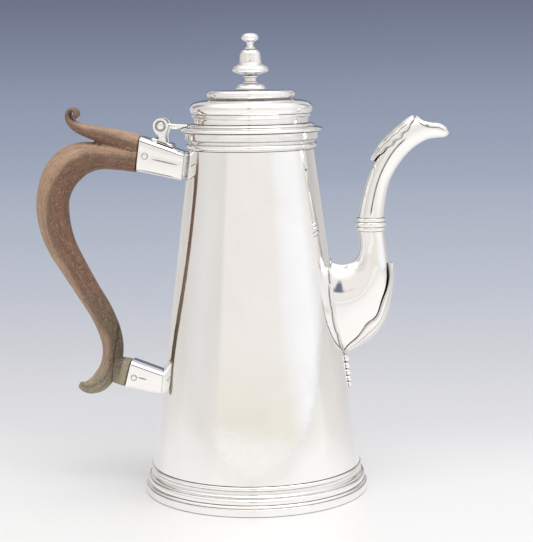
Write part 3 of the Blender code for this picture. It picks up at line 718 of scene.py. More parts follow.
def make_ear(y, back, front):
    """One ear with a round head over a waisted foot, and a ring cut round the pin's head."""
    left = [(back, socket_top(back) + 0.8), (HINGE_X - 2.2, HINGE_Z - 6.9),
            (HINGE_X - 0.9, HINGE_Z - 6.2), (HINGE_X - 1.1, HINGE_Z - 4.6),
            (HINGE_X - 2.6, HINGE_Z - 3.2), (HINGE_X - EAR_R, HINGE_Z - 0.6)]
    head = [(HINGE_X + EAR_R * math.cos(a), HINGE_Z + EAR_R * math.sin(a))
            for a in (math.pi * (1 - k / 16) for k in range(1, 16))]
    right = [(HINGE_X + EAR_R, HINGE_Z - 0.2), (HINGE_X + 2.9, HINGE_Z - 2.6),
             (HINGE_X + 2.2, HINGE_Z - 5.0), (HINGE_X + 2.5, HINGE_Z - 7.4),
             (HINGE_X + 3.4, HINGE_Z - 9.2), (front, socket_top(front) + 0.8)]
    outline = [*curve_through(left, 4)[:-1], *head, *curve_through(right, 4)]
    ear = round_edges(plate("ear", outline, y - EAR_HALF, y + EAR_HALF), 0.35)
    ring = [(HINGE_X + EAR_RING_R * c, math.copysign(EAR_FACE, y), HINGE_Z + EAR_RING_R * s)
            for c, s in circle_points(40)]
    cut_away(ear, bead_along("ring_line", ring, EAR_LINE_R, 8, closed=True))
    # The cut ring darkened: partly tarnish, partly painted shade.
    mark_lines(ear, [(ring, EAR_LINE_R)])
    return ear


def make_saddle(back, front):
    """The pad between the ears and the upper socket's top."""
    ease = 0.6
    outline = [
        (back, socket_top(back) + 0.3), (back, socket_top(back) + 1.1),
        (back + ease, socket_top(back + ease) + 1.5), (front - ease, socket_top(front - ease) + 1.5),
        (front, socket_top(front) + 0.3),
    ]
    return round_edges(plate("saddle", outline, -EAR_FACE, EAR_FACE), 0.3)


def make_hinge():
    """The bracket's two ears, the riveted pin and the lid's tongue between the ears."""
    back, front = HINGE_X - 3.0, HINGE_X + 4.6
    pieces = [make_ear(y, back, front) for y in (-EAR_Y, EAR_Y)]
    pieces.append(make_saddle(HINGE_X - 4.5, HINGE_X + 5.7))
    for y in (-EAR_Y, EAR_Y):
        roll = drill("roll", ROLL_R, (back + 0.1, y, HINGE_Z - 7.3), EAR_HALF + 0.02)
        pieces.append(round_edges(roll, 0.3))
    place(joined("hinge_ears", pieces), "pot", ["hinge_bracket"], SILVER_CAST)

    rod = drill("pin_rod", PIN_ROD_R, (HINGE_X, 0.0, HINGE_Z), EAR_FACE)
    heads = [knob("pin_head", PIN_HEAD_R, (HINGE_X, facing * (EAR_FACE - 0.05), HINGE_Z), 0.12,
                  0.42, facing) for facing in (-1, 1)]
    pin = joined("hinge_pin_riveted", [rod, *heads])
    place(pin, "pot", ["hinge_pin"], SILVER_CAST)

    knuckle = drill("knuckle", KNUCKLE_R, (HINGE_X, 0.0, HINGE_Z), 2.6, steps=64)
    rings = []
    for x, half, high, low in curve_through(ARM, 4):
        rings.append([(x, half * squared_off(c, ARM_SQUARE),
                       (high + low) / 2 + (high - low) / 2 * squared_off(s, ARM_SQUARE))
                      for c, s in circle_points(32)])
    arm = loft("arm", rings, capped=True)
    lid_edge = turned("edge_cutter", (0.0, 190.0), [
        [(30.6, 190.0)], [(30.6, 176.95)],
        [(31.7, 176.8), (33.0, 176.45), (33.9, 176.0), (34.15, 175.5)],
        [(34.15, 170.0)], [(0.0, 170.0)],
    ], closed=False)
    tongue = joined("lid_tongue", [round_edges(knuckle, 0.3), cut_away(arm, lid_edge)])
    place(tongue, "lid", ["lid_hinge_tongue"], SILVER_CAST)


# ---------------------------------------------------------------- sockets and pins

# Where the handle's pins cross the sockets, in (x, z).
UPPER_PIN = (-50.9, 163.4)
LOWER_PIN = (-59.2, 55.0)
PAD_PROUD = 2.2
PAD_Z = 158.9
SOCKET_DEPTH = 12.0
SOCKET_WALL = 1.0
MOUTH_EASE = 0.25


def rounded_box_ring(top, low, half_width, corner, inset):
    """A rounded rectangle whose upright runs from low to top in the XZ plane."""
    height = np.linalg.norm(top - low)
    upright = (top - low) / height
    middle = (top + low) / 2
    half_height = height / 2 - inset
    half_width -= inset
    corner = max(corner - inset, 0.4)
    ring = []
    for sign_y, sign_v, start in ((1, 1, 0.0), (-1, 1, 0.5), (-1, -1, 1.0), (1, -1, 1.5)):
        for k in range(7):
            angle = math.pi * (start + k / 12)
            y = sign_y * (half_width - corner) + corner * math.cos(angle)
            v = sign_v * (half_height - corner) + corner * math.sin(angle)
            x, z = middle + upright * v
            ring.append((x, y, z))
    return ring


def socket_ring(corners, half_widths, corner, share, inset=0.0):
    """A rounded rectangle at a share of the way along a tapered box. The box's corners are (x, z)
    at the outer end's top, the inner end's top, the inner end's low side and the outer end's."""
    top_out, top_in, low_in, low_out = (np.array(c, float) for c in corners)
    return rounded_box_ring(between(top_out, top_in, share), between(low_out, low_in, share),
                            between(*half_widths, share), corner, inset)


def make_socket(name, corners, half_widths, corner, proud, lines):
    """A hollow tapered socket with an eased mouth and lines cut into its sides. Each line is its
    start and end in (x, z), the half widths there and the radius of its cut."""
    depth = SOCKET_DEPTH / (corners[1][0] - corners[0][0])
    inner = [socket_ring(corners, half_widths, corner, share, SOCKET_WALL)
             for share in (depth, depth * 0.5, 0.01)]
    inner.append(socket_ring(corners, half_widths, corner, 0.0, SOCKET_WALL - MOUTH_EASE))
    outer = [socket_ring(corners, half_widths, corner, 0.0, MOUTH_EASE)]
    outer += [socket_ring(corners, half_widths, corner, share)
              for share in (0.012, 0.03, 0.3, 0.6, 1.0)]
    socket = loft(name, inner + outer, capped=True)
    cut_away(socket, body_cone(proud))
    cut = []
    shares = [k / 14 for k in range(15)]
    for start, end, half_y, radius in lines:
        for side in (-1, 1):
            path = [(between(start[0], end[0], share), side * between(*half_y, share),
                     between(start[1], end[1], share)) for share in shares]
            cut_away(socket, bead_along("socket_line", path, radius, 8))
        cut.append((path, radius))
    # The cut lines darkened: partly tarnish, partly painted shade.
    mark_lines(socket, cut)
    return socket


# The rounded edge of a thin plate on the body, as (share of its outline, share of its height).
PLATE_EDGE = [(1.0, 0.0), (0.997, 0.35), (0.985, 0.62), (0.96, 0.82), (0.92, 0.95), (0.85, 1.0),
              (0.7, 1.0), (0.45, 1.0), (0.2, 1.0)]
PLATE_GAP = 0.02


def applied_plate(name, outline, middle, thickness, side, inner=0.0, steps=96):
    """A thin plate laid on the body, from its outline in (y, z) round a middle height. side is 1
    on the spout's side and -1 on the handle's, and inner is the size of its hole as a share of
    the outline."""
    def ring_at(share, stand_off):
        ring = []
        for k in range(steps):
            y, z = outline(math.tau * k / steps)
            y, z = y * share, between(middle, z, share)
            x = math.sqrt(body_radius(z) ** 2 - y * y) + PLATE_GAP + stand_off
            ring.append((side * x, y, z))
        return ring

    rings = [ring_at(share, thickness * high) for share, high in PLATE_EDGE if share > inner]
    if inner:
        rings += [ring_at(inner, thickness), ring_at(inner, 0.0)]
    made = loft(name, rings, capped=not inner)
    # The plate's edge where it meets the body, and its hole, darkened: partly tarnish, partly
    # painted shade.
    marks = np.zeros((len(rings), steps))
    marks[:3] = [[LINE_DARK], [0.7], [0.3]]
    if inner:
        marks[-2:] = [[0.5], [LINE_DARK]]
    store(made, "crevice", marks.ravel())
    return made


def pad_outline(angle):
    """The rounded rectangle of the pad round the upper socket's root."""
    half_width, half_height, power = 8.2, 6.3, 0.42
    return (half_width * squared_off(math.cos(angle), power),
            PAD_Z + half_height * squared_off(math.sin(angle), power))


def make_sockets():
    """The handle's two sockets, the pad behind the upper one and the pins through both."""
    upper = make_socket("upper_socket_boxed", UPPER_SOCKET, (7.4, 6.4), 2.4, PAD_PROUD, [
        ((-48.6, 162.2), (-33.8, 158.7), (7.24, 6.55), 0.34),
        ((-54.4, 157.2), (-34.6, 152.8), (6.98, 6.05), 0.24),
    ])
    place(upper, "pot", ["upper_socket"], SILVER)
    lower = make_socket("lower_socket_boxed", LOWER_SOCKET, (6.2, 6.0), 2.2, 0.1, [
        ((-57.4, 55.3), (-52.6, 53.9), (6.16, 6.08), 0.30),
    ])
    place(lower, "pot", ["lower_socket"], SILVER)
    pad = applied_plate("upper_socket_base", pad_outline, PAD_Z, PAD_PROUD - 0.1, -1)
    place(pad, "pot", ["upper_socket_pad"], SILVER)
    for name, node, (x, z), reach, radius in (
            ("upper_pin_heads", "upper_handle_pin", UPPER_PIN, 7.26, 1.35),
            ("lower_pin_heads", "lower_handle_pin", LOWER_PIN, 6.16, 1.3)):
        ends = [knob("end", radius, (x, side * reach, z), 0.12, 0.30, side) for side in (-1, 1)]
        shank = drill("shank", 1.1, (x, 0.0, z), reach)
        place(joined(name, [*ends, shank]), "pot", [node], SILVER)


# ---------------------------------------------------------------- handle

# Middle lines as (x, z, half thickness, half width).
GRIP = [
    (-56.0, 161.8, 6.6, 6.5), (-64.5, 162.5, 6.2, 6.3), (-73.5, 163.1, 6.4, 6.2),
    (-81.6, 162.4, 7.8, 6.6), (-88.2, 159.6, 8.8, 7.0), (-93.6, 154.1, 8.7, 7.1),
    (-97.2, 146.3, 8.2, 7.0), (-98.3, 138.2, 8.0, 6.8), (-97.1, 127.9, 7.7, 6.5),
    (-93.9, 118.4, 7.1, 6.2), (-88.5, 108.6, 6.4, 5.8), (-82.4, 98.0, 5.9, 5.4),
    (-76.3, 87.8, 5.7, 5.2), (-72.0, 77.9, 5.5, 5.0), (-70.3, 68.4, 5.2, 4.8),
    (-72.1, 59.2, 4.9, 4.6), (-76.6, 52.3, 4.8, 4.3), (-81.2, 49.4, 3.9, 3.7),
    (-84.8, 49.0, 2.8, 2.9), (-87.8, 50.2, 1.4, 1.7),
]
THUMB = [
    (-56.0, 168.4, 5.4, 6.0), (-64.5, 171.3, 4.6, 5.6), (-72.0, 173.3, 3.9, 5.2),
    (-78.6, 175.0, 3.2, 4.9), (-84.0, 176.9, 2.6, 4.7), (-87.6, 179.4, 1.9, 4.5),
    (-89.0, 182.2, 1.3, 4.5), (-88.7, 184.6, 1.1, 4.6), (-87.0, 185.9, 1.0, 4.7),
    (-85.2, 185.0, 1.0, 4.8), (-84.8, 183.2, 1.0, 4.8), (-86.1, 182.2, 1.1, 4.8),
]

# Painted shade: the dark slit where the thumb piece leaves the grip, and the dark line at each
# socket's mouth as (x, z, how far x moves for each millimetre of z).
SLIT = [(-73.5, 169.0), (-76.5, 169.9), (-79.5, 170.9)]
MOUTH_LINES = [(-54.6, 164.0, 0.145), (-62.4, 56.5, 0.27)]
SLIT_REACH = 1.3
MOUTH_LINE_REACH = 0.7
CREASE_WIDTH = 0.35


def limb(name, stations, crease=0.05, square=0.92):
    """A carved limb with an oval section and a soft crease along the middle of each side."""
    dense = curve_through(stations, 8)
    rings = []
    for i, (x, z, r, w) in enumerate(dense):
        ahead = dense[min(i + 1, len(dense) - 1)]
        behind = dense[max(i - 1, 0)]
        tangent = Vector((ahead[0] - behind[0], 0, ahead[1] - behind[1])).normalized()
        out = Vector((tangent.z, 0, -tangent.x))
        ring = []
        for c, s in circle_points(48):
            ridge = 1 + crease * max(0.0, 1 - abs(c) / CREASE_WIDTH)
            p = Vector((x, 0, z)) + out * (r * squared_off(c, square))
            ring.append((p.x, w * squared_off(s, square) * ridge, p.z))
        rings.append(ring)
    return loft(name, rings, capped=True)


def squared_end(name, corners, half_widths, corner, ease=0.0):
    """A squared piece of the wood at or in a socket's mouth, in line with its sides."""
    rings = [socket_ring(corners, half_widths, corner, share) for share in (0.0, 0.35, 0.7, 0.93)]
    rings.append(socket_ring(corners, half_widths, corner, 1.0, ease))
    return loft(name, rings, capped=True)


def make_handle():
    """The carved grip and thumb piece, squared where they enter the sockets."""
    handle = joined("handle_carved", [
        limb("grip", GRIP),
        limb("thumb", THUMB, crease=0.0, square=0.8),
        squared_end("shoulder", [(-63.5, 173.6), (-53.35, 172.7), (-55.95, 155.6), (-63.5, 157.0)],
                    (5.4, 7.0), 2.8, 0.2),
        squared_end("stub", [(-69.5, 64.2), (-60.75, 62.7), (-64.2, 50.1), (-70.5, 52.0)],
                    (4.6, 5.8), 2.0, 0.2),
        squared_end("upper_tenon", [(-58.0, 171.6), (-43.0, 166.2), (-43.6, 156.2), (-58.0, 159.0)],
                    (5.2, 5.2), 1.6),
        squared_end("lower_tenon", [(-66.0, 62.2), (-50.0, 56.8), (-51.0, 49.4), (-66.0, 52.6)],
                    (4.4, 4.4), 1.6),
    ])
    remesh = handle.modifiers.new("carve", "REMESH")
    remesh.mode = "VOXEL"
    remesh.voxel_size = 0.5 * MM
    remesh.adaptivity = 0.0
    soften = handle.modifiers.new("soften", "SMOOTH")
    soften.factor = 0.5
    soften.iterations = 5
    apply_modifiers(handle)
    for (x, z), radius in ((UPPER_PIN, 1.4), (LOWER_PIN, 1.6)):
        cut_away(handle, drill("pin_hole", radius, (x, 0.0, z), 20.0))
    handle.data.shade_smooth()
    grain_of(handle)
    place(handle, "pot", ["handle"], WOOD)


def grain_of(handle):
    """Stores, for each vertex, how far along the handle it lies, how far to the outer side of
    the middle line, and its Y, in metres. The wood's grain follows them."""
    co = vertices_of(handle)
    rows = np.arange(len(co))
    best = np.full(len(co), np.inf)
    along = np.zeros(len(co))
    side = np.zeros(len(co))
    for stations in (GRIP, THUMB):
        line = np.array(curve_through(stations, 10))
        steps = np.linalg.norm(np.diff(line[:, :2], axis=0), axis=1)
        lengths = np.concatenate([[0.0], np.cumsum(steps)])
        tangents = np.gradient(line[:, :2], axis=0)
        tangents /= np.linalg.norm(tangents, axis=1)[:, None]
        offset = co[:, None, (0, 2)] - line[None, :, :2]
        reach = np.linalg.norm(offset, axis=2) / line[None, :, 2]
        nearest = reach.argmin(axis=1)
        found = reach[rows, nearest]
        closer = found < best
        normal = np.stack([-tangents[:, 1], tangents[:, 0]], axis=1)
        signed = -(offset[rows, nearest] * normal[nearest]).sum(axis=1)
        along = np.where(closer, lengths[nearest], along)
        side = np.where(closer, signed, side)
        best = np.where(closer, found, best)
    values = np.stack([along, side, co[:, 1]], axis=1) * MM
    attribute = handle.data.attributes.new("grain", "FLOAT_VECTOR", "POINT")
    attribute.data.foreach_set("vector", values.astype(np.float32).ravel())
    # Painted shade: dark in the slit under the thumb piece and at the sockets' mouths.
    gap = np.linalg.norm(co[:, None, (0, 2)] - np.array(SLIT)[None], axis=2).min(axis=1)
    ends = np.min([np.abs(co[:, 0] - x - (co[:, 2] - z) * lean) for x, z, lean in MOUTH_LINES],
                  axis=0)
    dark = np.maximum(np.clip(1 - gap / SLIT_REACH, 0, 1) * 0.8,
                      np.clip(1 - ends / MOUTH_LINE_REACH, 0, 1) * 0.75)
    store(handle, "crevice", dark)


# ---------------------------------------------------------------- spout

# Sections of the spout, as its back's (x, z), its belly's (x, z) and half its width.
SPOUT_LOWER = [
    (34.0, 113.4, 30.0, 66.6, 10.0), (40.4, 110.6, 42.4, 68.0, 9.6),
    (44.6, 110.4, 51.6, 72.2, 9.2), (48.4, 111.9, 59.0, 78.2, 8.6),
    (50.3, 114.4, 64.0, 88.4, 8.0), (51.2, 118.2, 65.8, 103.0, 7.2),
    (51.2, 122.2, 64.4, 116.2, 6.5), (50.8, 126.4, 63.0, 126.4, 6.1),
]
SPOUT_NECK = [
    (50.7, 133.0, 62.9, 133.0, 6.1), (52.0, 139.6, 63.6, 139.2, 5.7),
    (54.7, 149.6, 65.2, 148.0, 5.3), (57.9, 158.6, 68.4, 155.2, 5.2),
    (62.6, 167.4, 73.0, 161.8, 5.2), (69.4, 174.6, 77.8, 166.4, 5.3),
    (77.6, 180.2, 83.2, 169.6, 5.5), (85.6, 180.0, 87.6, 170.5, 5.4),
    (91.6, 176.6, 91.4, 170.8, 3.9), (93.95, 173.4, 93.2, 171.6, 1.9),
]

# The edge of the spout's open mouth in (x, z), from its back to the tip of the lip.
MOUTH_EDGE = [
    (78.0, 181.0), (79.4, 180.3), (81.6, 178.4), (85.0, 177.3), (89.0, 177.0), (92.2, 175.3),
    (94.4, 172.9),
]
SPOUT_WALL = 0.9
COLLAR_X = 56.8
ROUND_ANGLES = [math.tau * k / 96 for k in range(96)]
NECK_LINE_R = 0.36
LIP_LINE_R = 0.30
LIP_DROP = 1.5
LIP_BEAD_R = 0.42
LIP_BEAD_IN = 0.18
SKIN_BLUR = 0.45


def spout_section(station, inset, angles=ROUND_ANGLES):
    """Points round one section of the spout, with angle 0 at its back."""
    back_x, back_z, belly_x, belly_z, half_width = station
    middle = Vector(((back_x + belly_x) / 2, 0, (back_z + belly_z) / 2))
    across = Vector((back_x, 0, back_z)) - middle
    height = across.length - inset
    across.normalize()
    ring = []
    for a in angles:
        aside = Vector((0, (half_width - inset) * math.sin(a), 0))
        ring.append(tuple(middle + across * (height * math.cos(a)) + aside))
    return ring


def spout_tube(name, stations):
    """A thin-walled tube through sections of the spout, open at both ends."""
    outer = [spout_section(s, 0.0) for s in stations]
    inner = [spout_section(s, SPOUT_WALL) for s in reversed(stations)]
    return loft(name, outer + inner, capped=False)


def on_skin(near, points, drop):
    """Points in (x, z) moved down by drop and out to the spout's side, with Y made positive.
    near holds the points of the spout's own skin on its -Y side, blurred over SKIN_BLUR."""
    found = []
    for x, z in points:
        gap = np.hypot(near[:, 0] - x, near[:, 2] - z + drop)
        weight = np.exp(-(gap / SKIN_BLUR) ** 2) + 1e-12
        found.append((x, -float((near[:, 1] * weight).sum() / weight.sum()), z - drop))
    return found


def make_spout():
    """The swelling lower half, the collar, the neck with its open lip, the two leaves, the
    scalloped plate at the root and the drop under it."""
    lower = spout_tube("spout_body", curve_through(SPOUT_LOWER, 10))
    cut_away(lower, body_cone(0.05))
    place(lower, "pot", ["spout_lower"], SILVER)

    collar = turned("spout_collar_turned", (5.2, 132.8), [
        [(6.3, 132.8)],
        [(6.85, 132.6), (7.1, 131.9), (6.95, 131.2), (6.6, 130.9)],
        [(7.2, 130.6), (7.45, 129.7), (7.2, 128.8), (6.6, 128.5)],
        [(6.95, 128.2), (7.1, 127.5), (6.85, 126.8), (6.3, 126.6)],
        [(5.2, 126.6)],
    ], SMALL_STEPS, at=(COLLAR_X, 0.0))
    place(collar, "pot", ["spout_collar"], SILVER_CAST)
    make_neck()

    back_leaf = curve_through(SPOUT_NECK, 15)[90:46:-1]
    leaf_on("leaf_on_back", back_leaf, 0.0, 1.25, 0.5, 5, "spout_back_leaf")
    keel_leaf = curve_through(SPOUT_LOWER, 12)[14:69]
    leaf_on("leaf_on_keel", keel_leaf, math.pi, 0.86, 1.4, 3, "spout_keel_leaf")

    flange = applied_plate("spout_root_plate", flange_outline, FLANGE_Z, 0.95, 1, inner=0.66,
                           steps=240)
    place(flange, "pot", ["spout_flange"], SILVER_CAST)
    make_drop()


def make_neck():
    """The neck, cut open along its upper edge, with a bead on that edge and two lines on each
    side: one along the middle and one below the lip."""
    path = curve_through(SPOUT_NECK, 10)
    neck = spout_tube("spout_neck_body", path)
    edge = [tuple(p) for p in curve_through(MOUTH_EDGE, 8)]
    mouth = edge + [(101.0, 172.9), (101.0, 192.0), (78.0, 192.0)]
    cut_away(neck, plate("mouth_cutter", mouth, -20.0, 20.0))

    skin = np.array([p for station in path for p in spout_section(station, 0.0)])
    near = skin[skin[:, 1] < -0.2]
    middle = [((back_x + belly_x) / 2, half, (back_z + belly_z) / 2)
              for back_x, back_z, belly_x, belly_z, half in path[3:52]]
    cut = [(middle, NECK_LINE_R), (on_skin(near, edge[6:-8], LIP_DROP), LIP_LINE_R)]
    for line, radius in cut:
        for side in (-1, 1):
            wire = [(x, side * y, z) for x, y, z in line]
            cut_away(neck, bead_along("neck_line", wire, radius, 8))
    # The middle line and the line below the lip darkened: partly tarnish, partly painted shade.
    mark_lines(neck, cut)

    lip = on_skin(near, edge[2:-7], 0.15)
    rim = [(x, -y + LIP_BEAD_IN, z) for x, y, z in lip]
    rim += [(x, y - LIP_BEAD_IN, z) for x, y, z in reversed(lip)]
    neck = joined("spout_neck_lipped", [neck, bead_along("lip", rim, LIP_BEAD_R)])
    place(neck, "pot", ["spout_neck"], SILVER)


def leaf_on(name, stations, facing, reach, lift, lobes, node):
    """A chased leaf with a raised midrib, long ribs along it and a lobed edge. facing and reach
    are the angles of its middle and of its widest half, and lift is how far its tip stands off."""
    across = 56
    rings, marks = [], []
    last = len(stations) - 1
    for i, station in enumerate(stations):
        share = i / last
        swell = 0.25 + 0.75 * math.sin(math.pi * share**0.8) ** 0.7
        swell *= 1.0 + 0.07 * math.cos(math.tau * share * lobes)
        stand_off = 0.25 + lift * share**3
        over, under = [], []
        for k in range(across + 1):
            v = 2 * k / across - 1
            angle = facing + reach * swell * v
            wave = abs(math.sin(math.pi * (abs(v) * 3.0 + 0.35 * share)))
            rib = 0.50 * math.exp(-(v / 0.10) ** 2) + 0.42 * wave**0.6
            # The valleys between the ribs, the leaf's edges and its underside darkened: partly
            # tarnish, partly painted shade.
            marks.append(0.85 * (1 - wave) ** 3 if 0 < k < across else 0.7)
            edge = 1 - abs(v) ** 12
            thickness = 0.20 + (0.16 + rib) * edge
            over.append(spout_section(station, -stand_off - thickness, [angle])[0])
            under.append(spout_section(station, -stand_off, [angle])[0])
        rings.append(over + under[::-1])
        marks += [LINE_DARK] * len(under)
    leaf = loft(name, rings, capped=True)
    store(leaf, "crevice", marks)
    place(leaf, "pot", [node], SILVER_CAST)


FLANGE_Z = 90.0
FLANGE_HALF_WIDTH = 13.2
FLANGE_HALF_HEIGHT = 23.3
LOBE_DEPTH = 0.10


def flange_outline(angle):
    """The scalloped edge of the plate round the spout's root."""
    reach = 1.0 - LOBE_DEPTH + LOBE_DEPTH * abs(math.cos(angle * 5)) ** 0.6
    return (FLANGE_HALF_WIDTH * reach * math.sin(angle),
            FLANGE_Z + FLANGE_HALF_HEIGHT * reach * math.cos(angle))


# The beads of the drop, as (height of the middle, radius).
DROP_BEADS = [(64.4, 2.0), (60.7, 1.8), (57.4, 1.7), (54.3, 1.5), (51.6, 1.2)]
DROP_TOP_Z = 66.3
DROP_TIP_Z = 49.8


def make_drop():
    """A string of shrinking beads that lies on the body under the spout."""
    runs = []
    for z, r in DROP_BEADS:
        runs.append([(r * 0.5, z + r * 0.92)])
        runs.append([(r * 0.86, z + r * 0.5), (r, z), (r * 0.86, z - r * 0.5),
                     (r * 0.5, z - r * 0.92)])
    runs.append([(0.0, DROP_TIP_Z)])
    drop = turned("bead_drop", (0.0, DROP_TOP_Z), runs, 48, closed=False)
    for vert in drop.data.vertices:
        z = vert.co.z / MM
        y = vert.co.y / MM
        x = vert.co.x / MM - AXIS_X + body_radius(z) + 0.4
        floor = math.sqrt(body_radius(z) ** 2 - y * y) + 0.03
        vert.co.x = (max(x, floor) + AXIS_X) * MM
    drop.data.update()
    place(drop, "pot", ["spout_drop"], SILVER_CAST)


# ---------------------------------------------------------------- studio


# The sweep, in metres: its floor's front edge, where it starts to curve up and the radius of the
# curve, the top of its wall, half its width, and how far its shading stays flat.
SWEEP_FRONT = -4.0
SWEEP_FLAT = 1.0
SWEEP_BACK = 1.9
SWEEP_BEND = 0.5
SWEEP_TOP = 0.78
SWEEP_HALF_WIDTH = 4.0

# The paper's colours, with light and shade painted in.
PAPER_WHITE = (0.800, 0.802, 0.805)
PAPER_WHITE_FAR = (0.860, 0.855, 0.840)
PAPER_FRONT_EDGE = (0.76, 0.74, 0.71)
PAPER_BY_HANDLE = (0.70, 0.685, 0.67)
PAPER_BY_SPOUT = (0.64, 0.63, 0.62)

# Painted fall-off of the light on the paper: its colours from the pot to the top of the wall, as
# (share of PAPER_DEPTH, colour). Each metre up the wall counts as PAPER_CLIMB metres back.
PAPER_DEPTH = 4.0
PAPER_CLIMB = 4.0
FALLOFF_STOPS = [
    (0.000, PAPER_WHITE), (0.035, (0.668, 0.675, 0.702)),
    (0.080, (0.600, 0.608, 0.642)), (0.1465, (0.528, 0.556, 0.630)),
    (0.2575, (0.474, 0.518, 0.605)), (0.470, (0.408, 0.462, 0.574)),
    (0.660, (0.270, 0.318, 0.432)), (0.810, (0.190, 0.226, 0.336)),
    (0.920, (0.145, 0.172, 0.266)),
]

# The strip of painted fall-off of the light behind the pot, in metres: half its width at the pot,
# how much that grows and how far its middle drifts towards the handle for each metre back, and how
# soft its edge is.
STRIP_HALF_WIDTH = 0.17
STRIP_GROWS = 0.20
STRIP_DRIFT = 0.105
STRIP_MIDDLE = 0.012
STRIP_EDGE = 0.30

# The painted pool of light on the paper in front of the pot: half its width there, in metres.
LIGHT_POOL_HALF_WIDTH = 0.62


def paper_material():
    """Paper with painted light: white in a painted pool of light at the pot and in front of it, and
    a painted fall-off of the light to a cool grey far behind it.
    """
    n = Nodes(bpy.data.materials.new("paper_painted_light"))
    here = n.coords()
    split = n.new("ShaderNodeSeparateXYZ", {"Vector": here})
    x, y, z = (split.outputs[k] for k in "XYZ")

    depth = n.math("ADD", y, n.math("MULTIPLY", z, PAPER_CLIMB))
    strip = n.ramp(n.spread(depth, 0.0, PAPER_DEPTH), FALLOFF_STOPS)
    drift = n.math("SUBTRACT", n.math("MULTIPLY", y, STRIP_DRIFT), STRIP_MIDDLE)
    aside = n.math("ABSOLUTE", n.math("ADD", x, drift))
    half_width = n.math("ADD", n.math("MULTIPLY", y, STRIP_GROWS), STRIP_HALF_WIDTH)
    past_strip = n.math("SUBTRACT", aside, half_width)
    # Painted light and shade beside the strip, a little darker on the spout's side.
    beside = n.mix(n.spread(x, -0.2, 0.2), PAPER_BY_HANDLE, PAPER_BY_SPOUT)
    back = n.mix(n.spread(past_strip, 0.0, STRIP_EDGE), strip, beside)

    # A painted pool of light in front of the pot, widening forwards.
    forward = n.math("MAXIMUM", n.math("MULTIPLY", y, -1.0), 0.0)
    past_white = n.math("SUBTRACT", n.math("ABSOLUTE", x),
                        n.math("ADD", forward, LIGHT_POOL_HALF_WIDTH))
    white = n.mix(n.spread(forward, 0.7, 1.5), PAPER_WHITE, PAPER_WHITE_FAR)
    front = n.mix(n.spread(past_white, -0.04, 0.04), white, PAPER_FRONT_EDGE)

    color = n.mix(n.spread(y, 0.10, -0.05), back, front)
    mottle = n.noise(here, 900.0, 2.0)
    color = n.mix(n.spread(mottle, 0.3, 0.7, 0.0, 0.02), color, (0.86, 0.86, 0.86))
    n.set(n.shader, "Base Color", color)
    n.shader.inputs["Roughness"].default_value = 0.32
    n.shader.inputs["Specular IOR Level"].default_value = 0.30
    return n.owner


def make_stage():
    """A pale sweep: a floor that runs back and curves up into a wall."""
    path = [(SWEEP_FRONT, 0.0), (SWEEP_FLAT, 0.0), (SWEEP_BACK, 0.0)]
    for k in range(1, 13):
        a = math.pi / 2 * k / 12
        path.append((SWEEP_BACK + SWEEP_BEND * math.sin(a), SWEEP_BEND * (1 - math.cos(a))))
    path.append((SWEEP_BACK + SWEEP_BEND, SWEEP_TOP))
    bm = bmesh.new()
    rows = [[bm.verts.new((x, y, z)) for x in (-SWEEP_HALF_WIDTH, SWEEP_HALF_WIDTH)]
            for y, z in path]
    for row, following in zip(rows, rows[1:]):
        bm.faces.new((row[0], row[1], following[1], following[0]))
    mesh = bpy.data.meshes.new("sweep")
    bm.to_mesh(mesh)
    bm.free()
    mesh.shade_smooth()
    sweep = bpy.data.objects.new("sweep", mesh)
    bpy.context.scene.collection.objects.link(sweep)
    sweep.data.materials.append(paper_material())


# The soft boxes and screens round the pot, as (direction in degrees from the front towards the
# spout, colour).
AROUND = [
    (-180, (0.62, 0.63, 0.66)), (-150, (0.74, 0.73, 0.72)), (-138, (0.30, 0.27, 0.27)),
    (-128, (0.34, 0.31, 0.31)), (-119, (0.70, 0.68, 0.66)), (-72, (0.80, 0.79, 0.78)),
    (-43, (0.78, 0.76, 0.74)), (-36, (0.90, 0.87, 0.84)), (5, (0.92, 0.88, 0.86)),
    (38, (0.92, 0.89, 0.87)), (50, (0.97, 0.97, 0.98)), (66, (1.00, 1.005, 1.03)),
    (88, (1.02, 1.03, 1.05)), (104, (0.92, 0.91, 0.91)), (118, (0.84, 0.83, 0.82)),
    (126, (0.92, 0.91, 0.90)), (136, (0.84, 0.82, 0.81)), (142, (0.28, 0.26, 0.27)),
    (148, (0.32, 0.30, 0.32)), (156, (0.74, 0.73, 0.72)), (180, (0.62, 0.63, 0.66)),
]
TABLE_BEIGE = (0.87, 0.845, 0.765)
LOW_WHITE = (0.98, 0.975, 0.96)
LOW_GREY = (0.70, 0.69, 0.685)
OVERHEAD = (1.25, 1.24, 1.22)
DARK_STAND = (0.17, 0.19, 0.26)
STAND_TURN = 0.045
TABLE_SLOPE = 0.07

LAMP_SPOT = Vector((0.35, -0.45, 1.5))
LAMP_AIM = Vector((0.0, 0.0, 0.1))
LAMP_POWER = 9.0
LAMP_COLOR = (1.0, 0.985, 0.96)


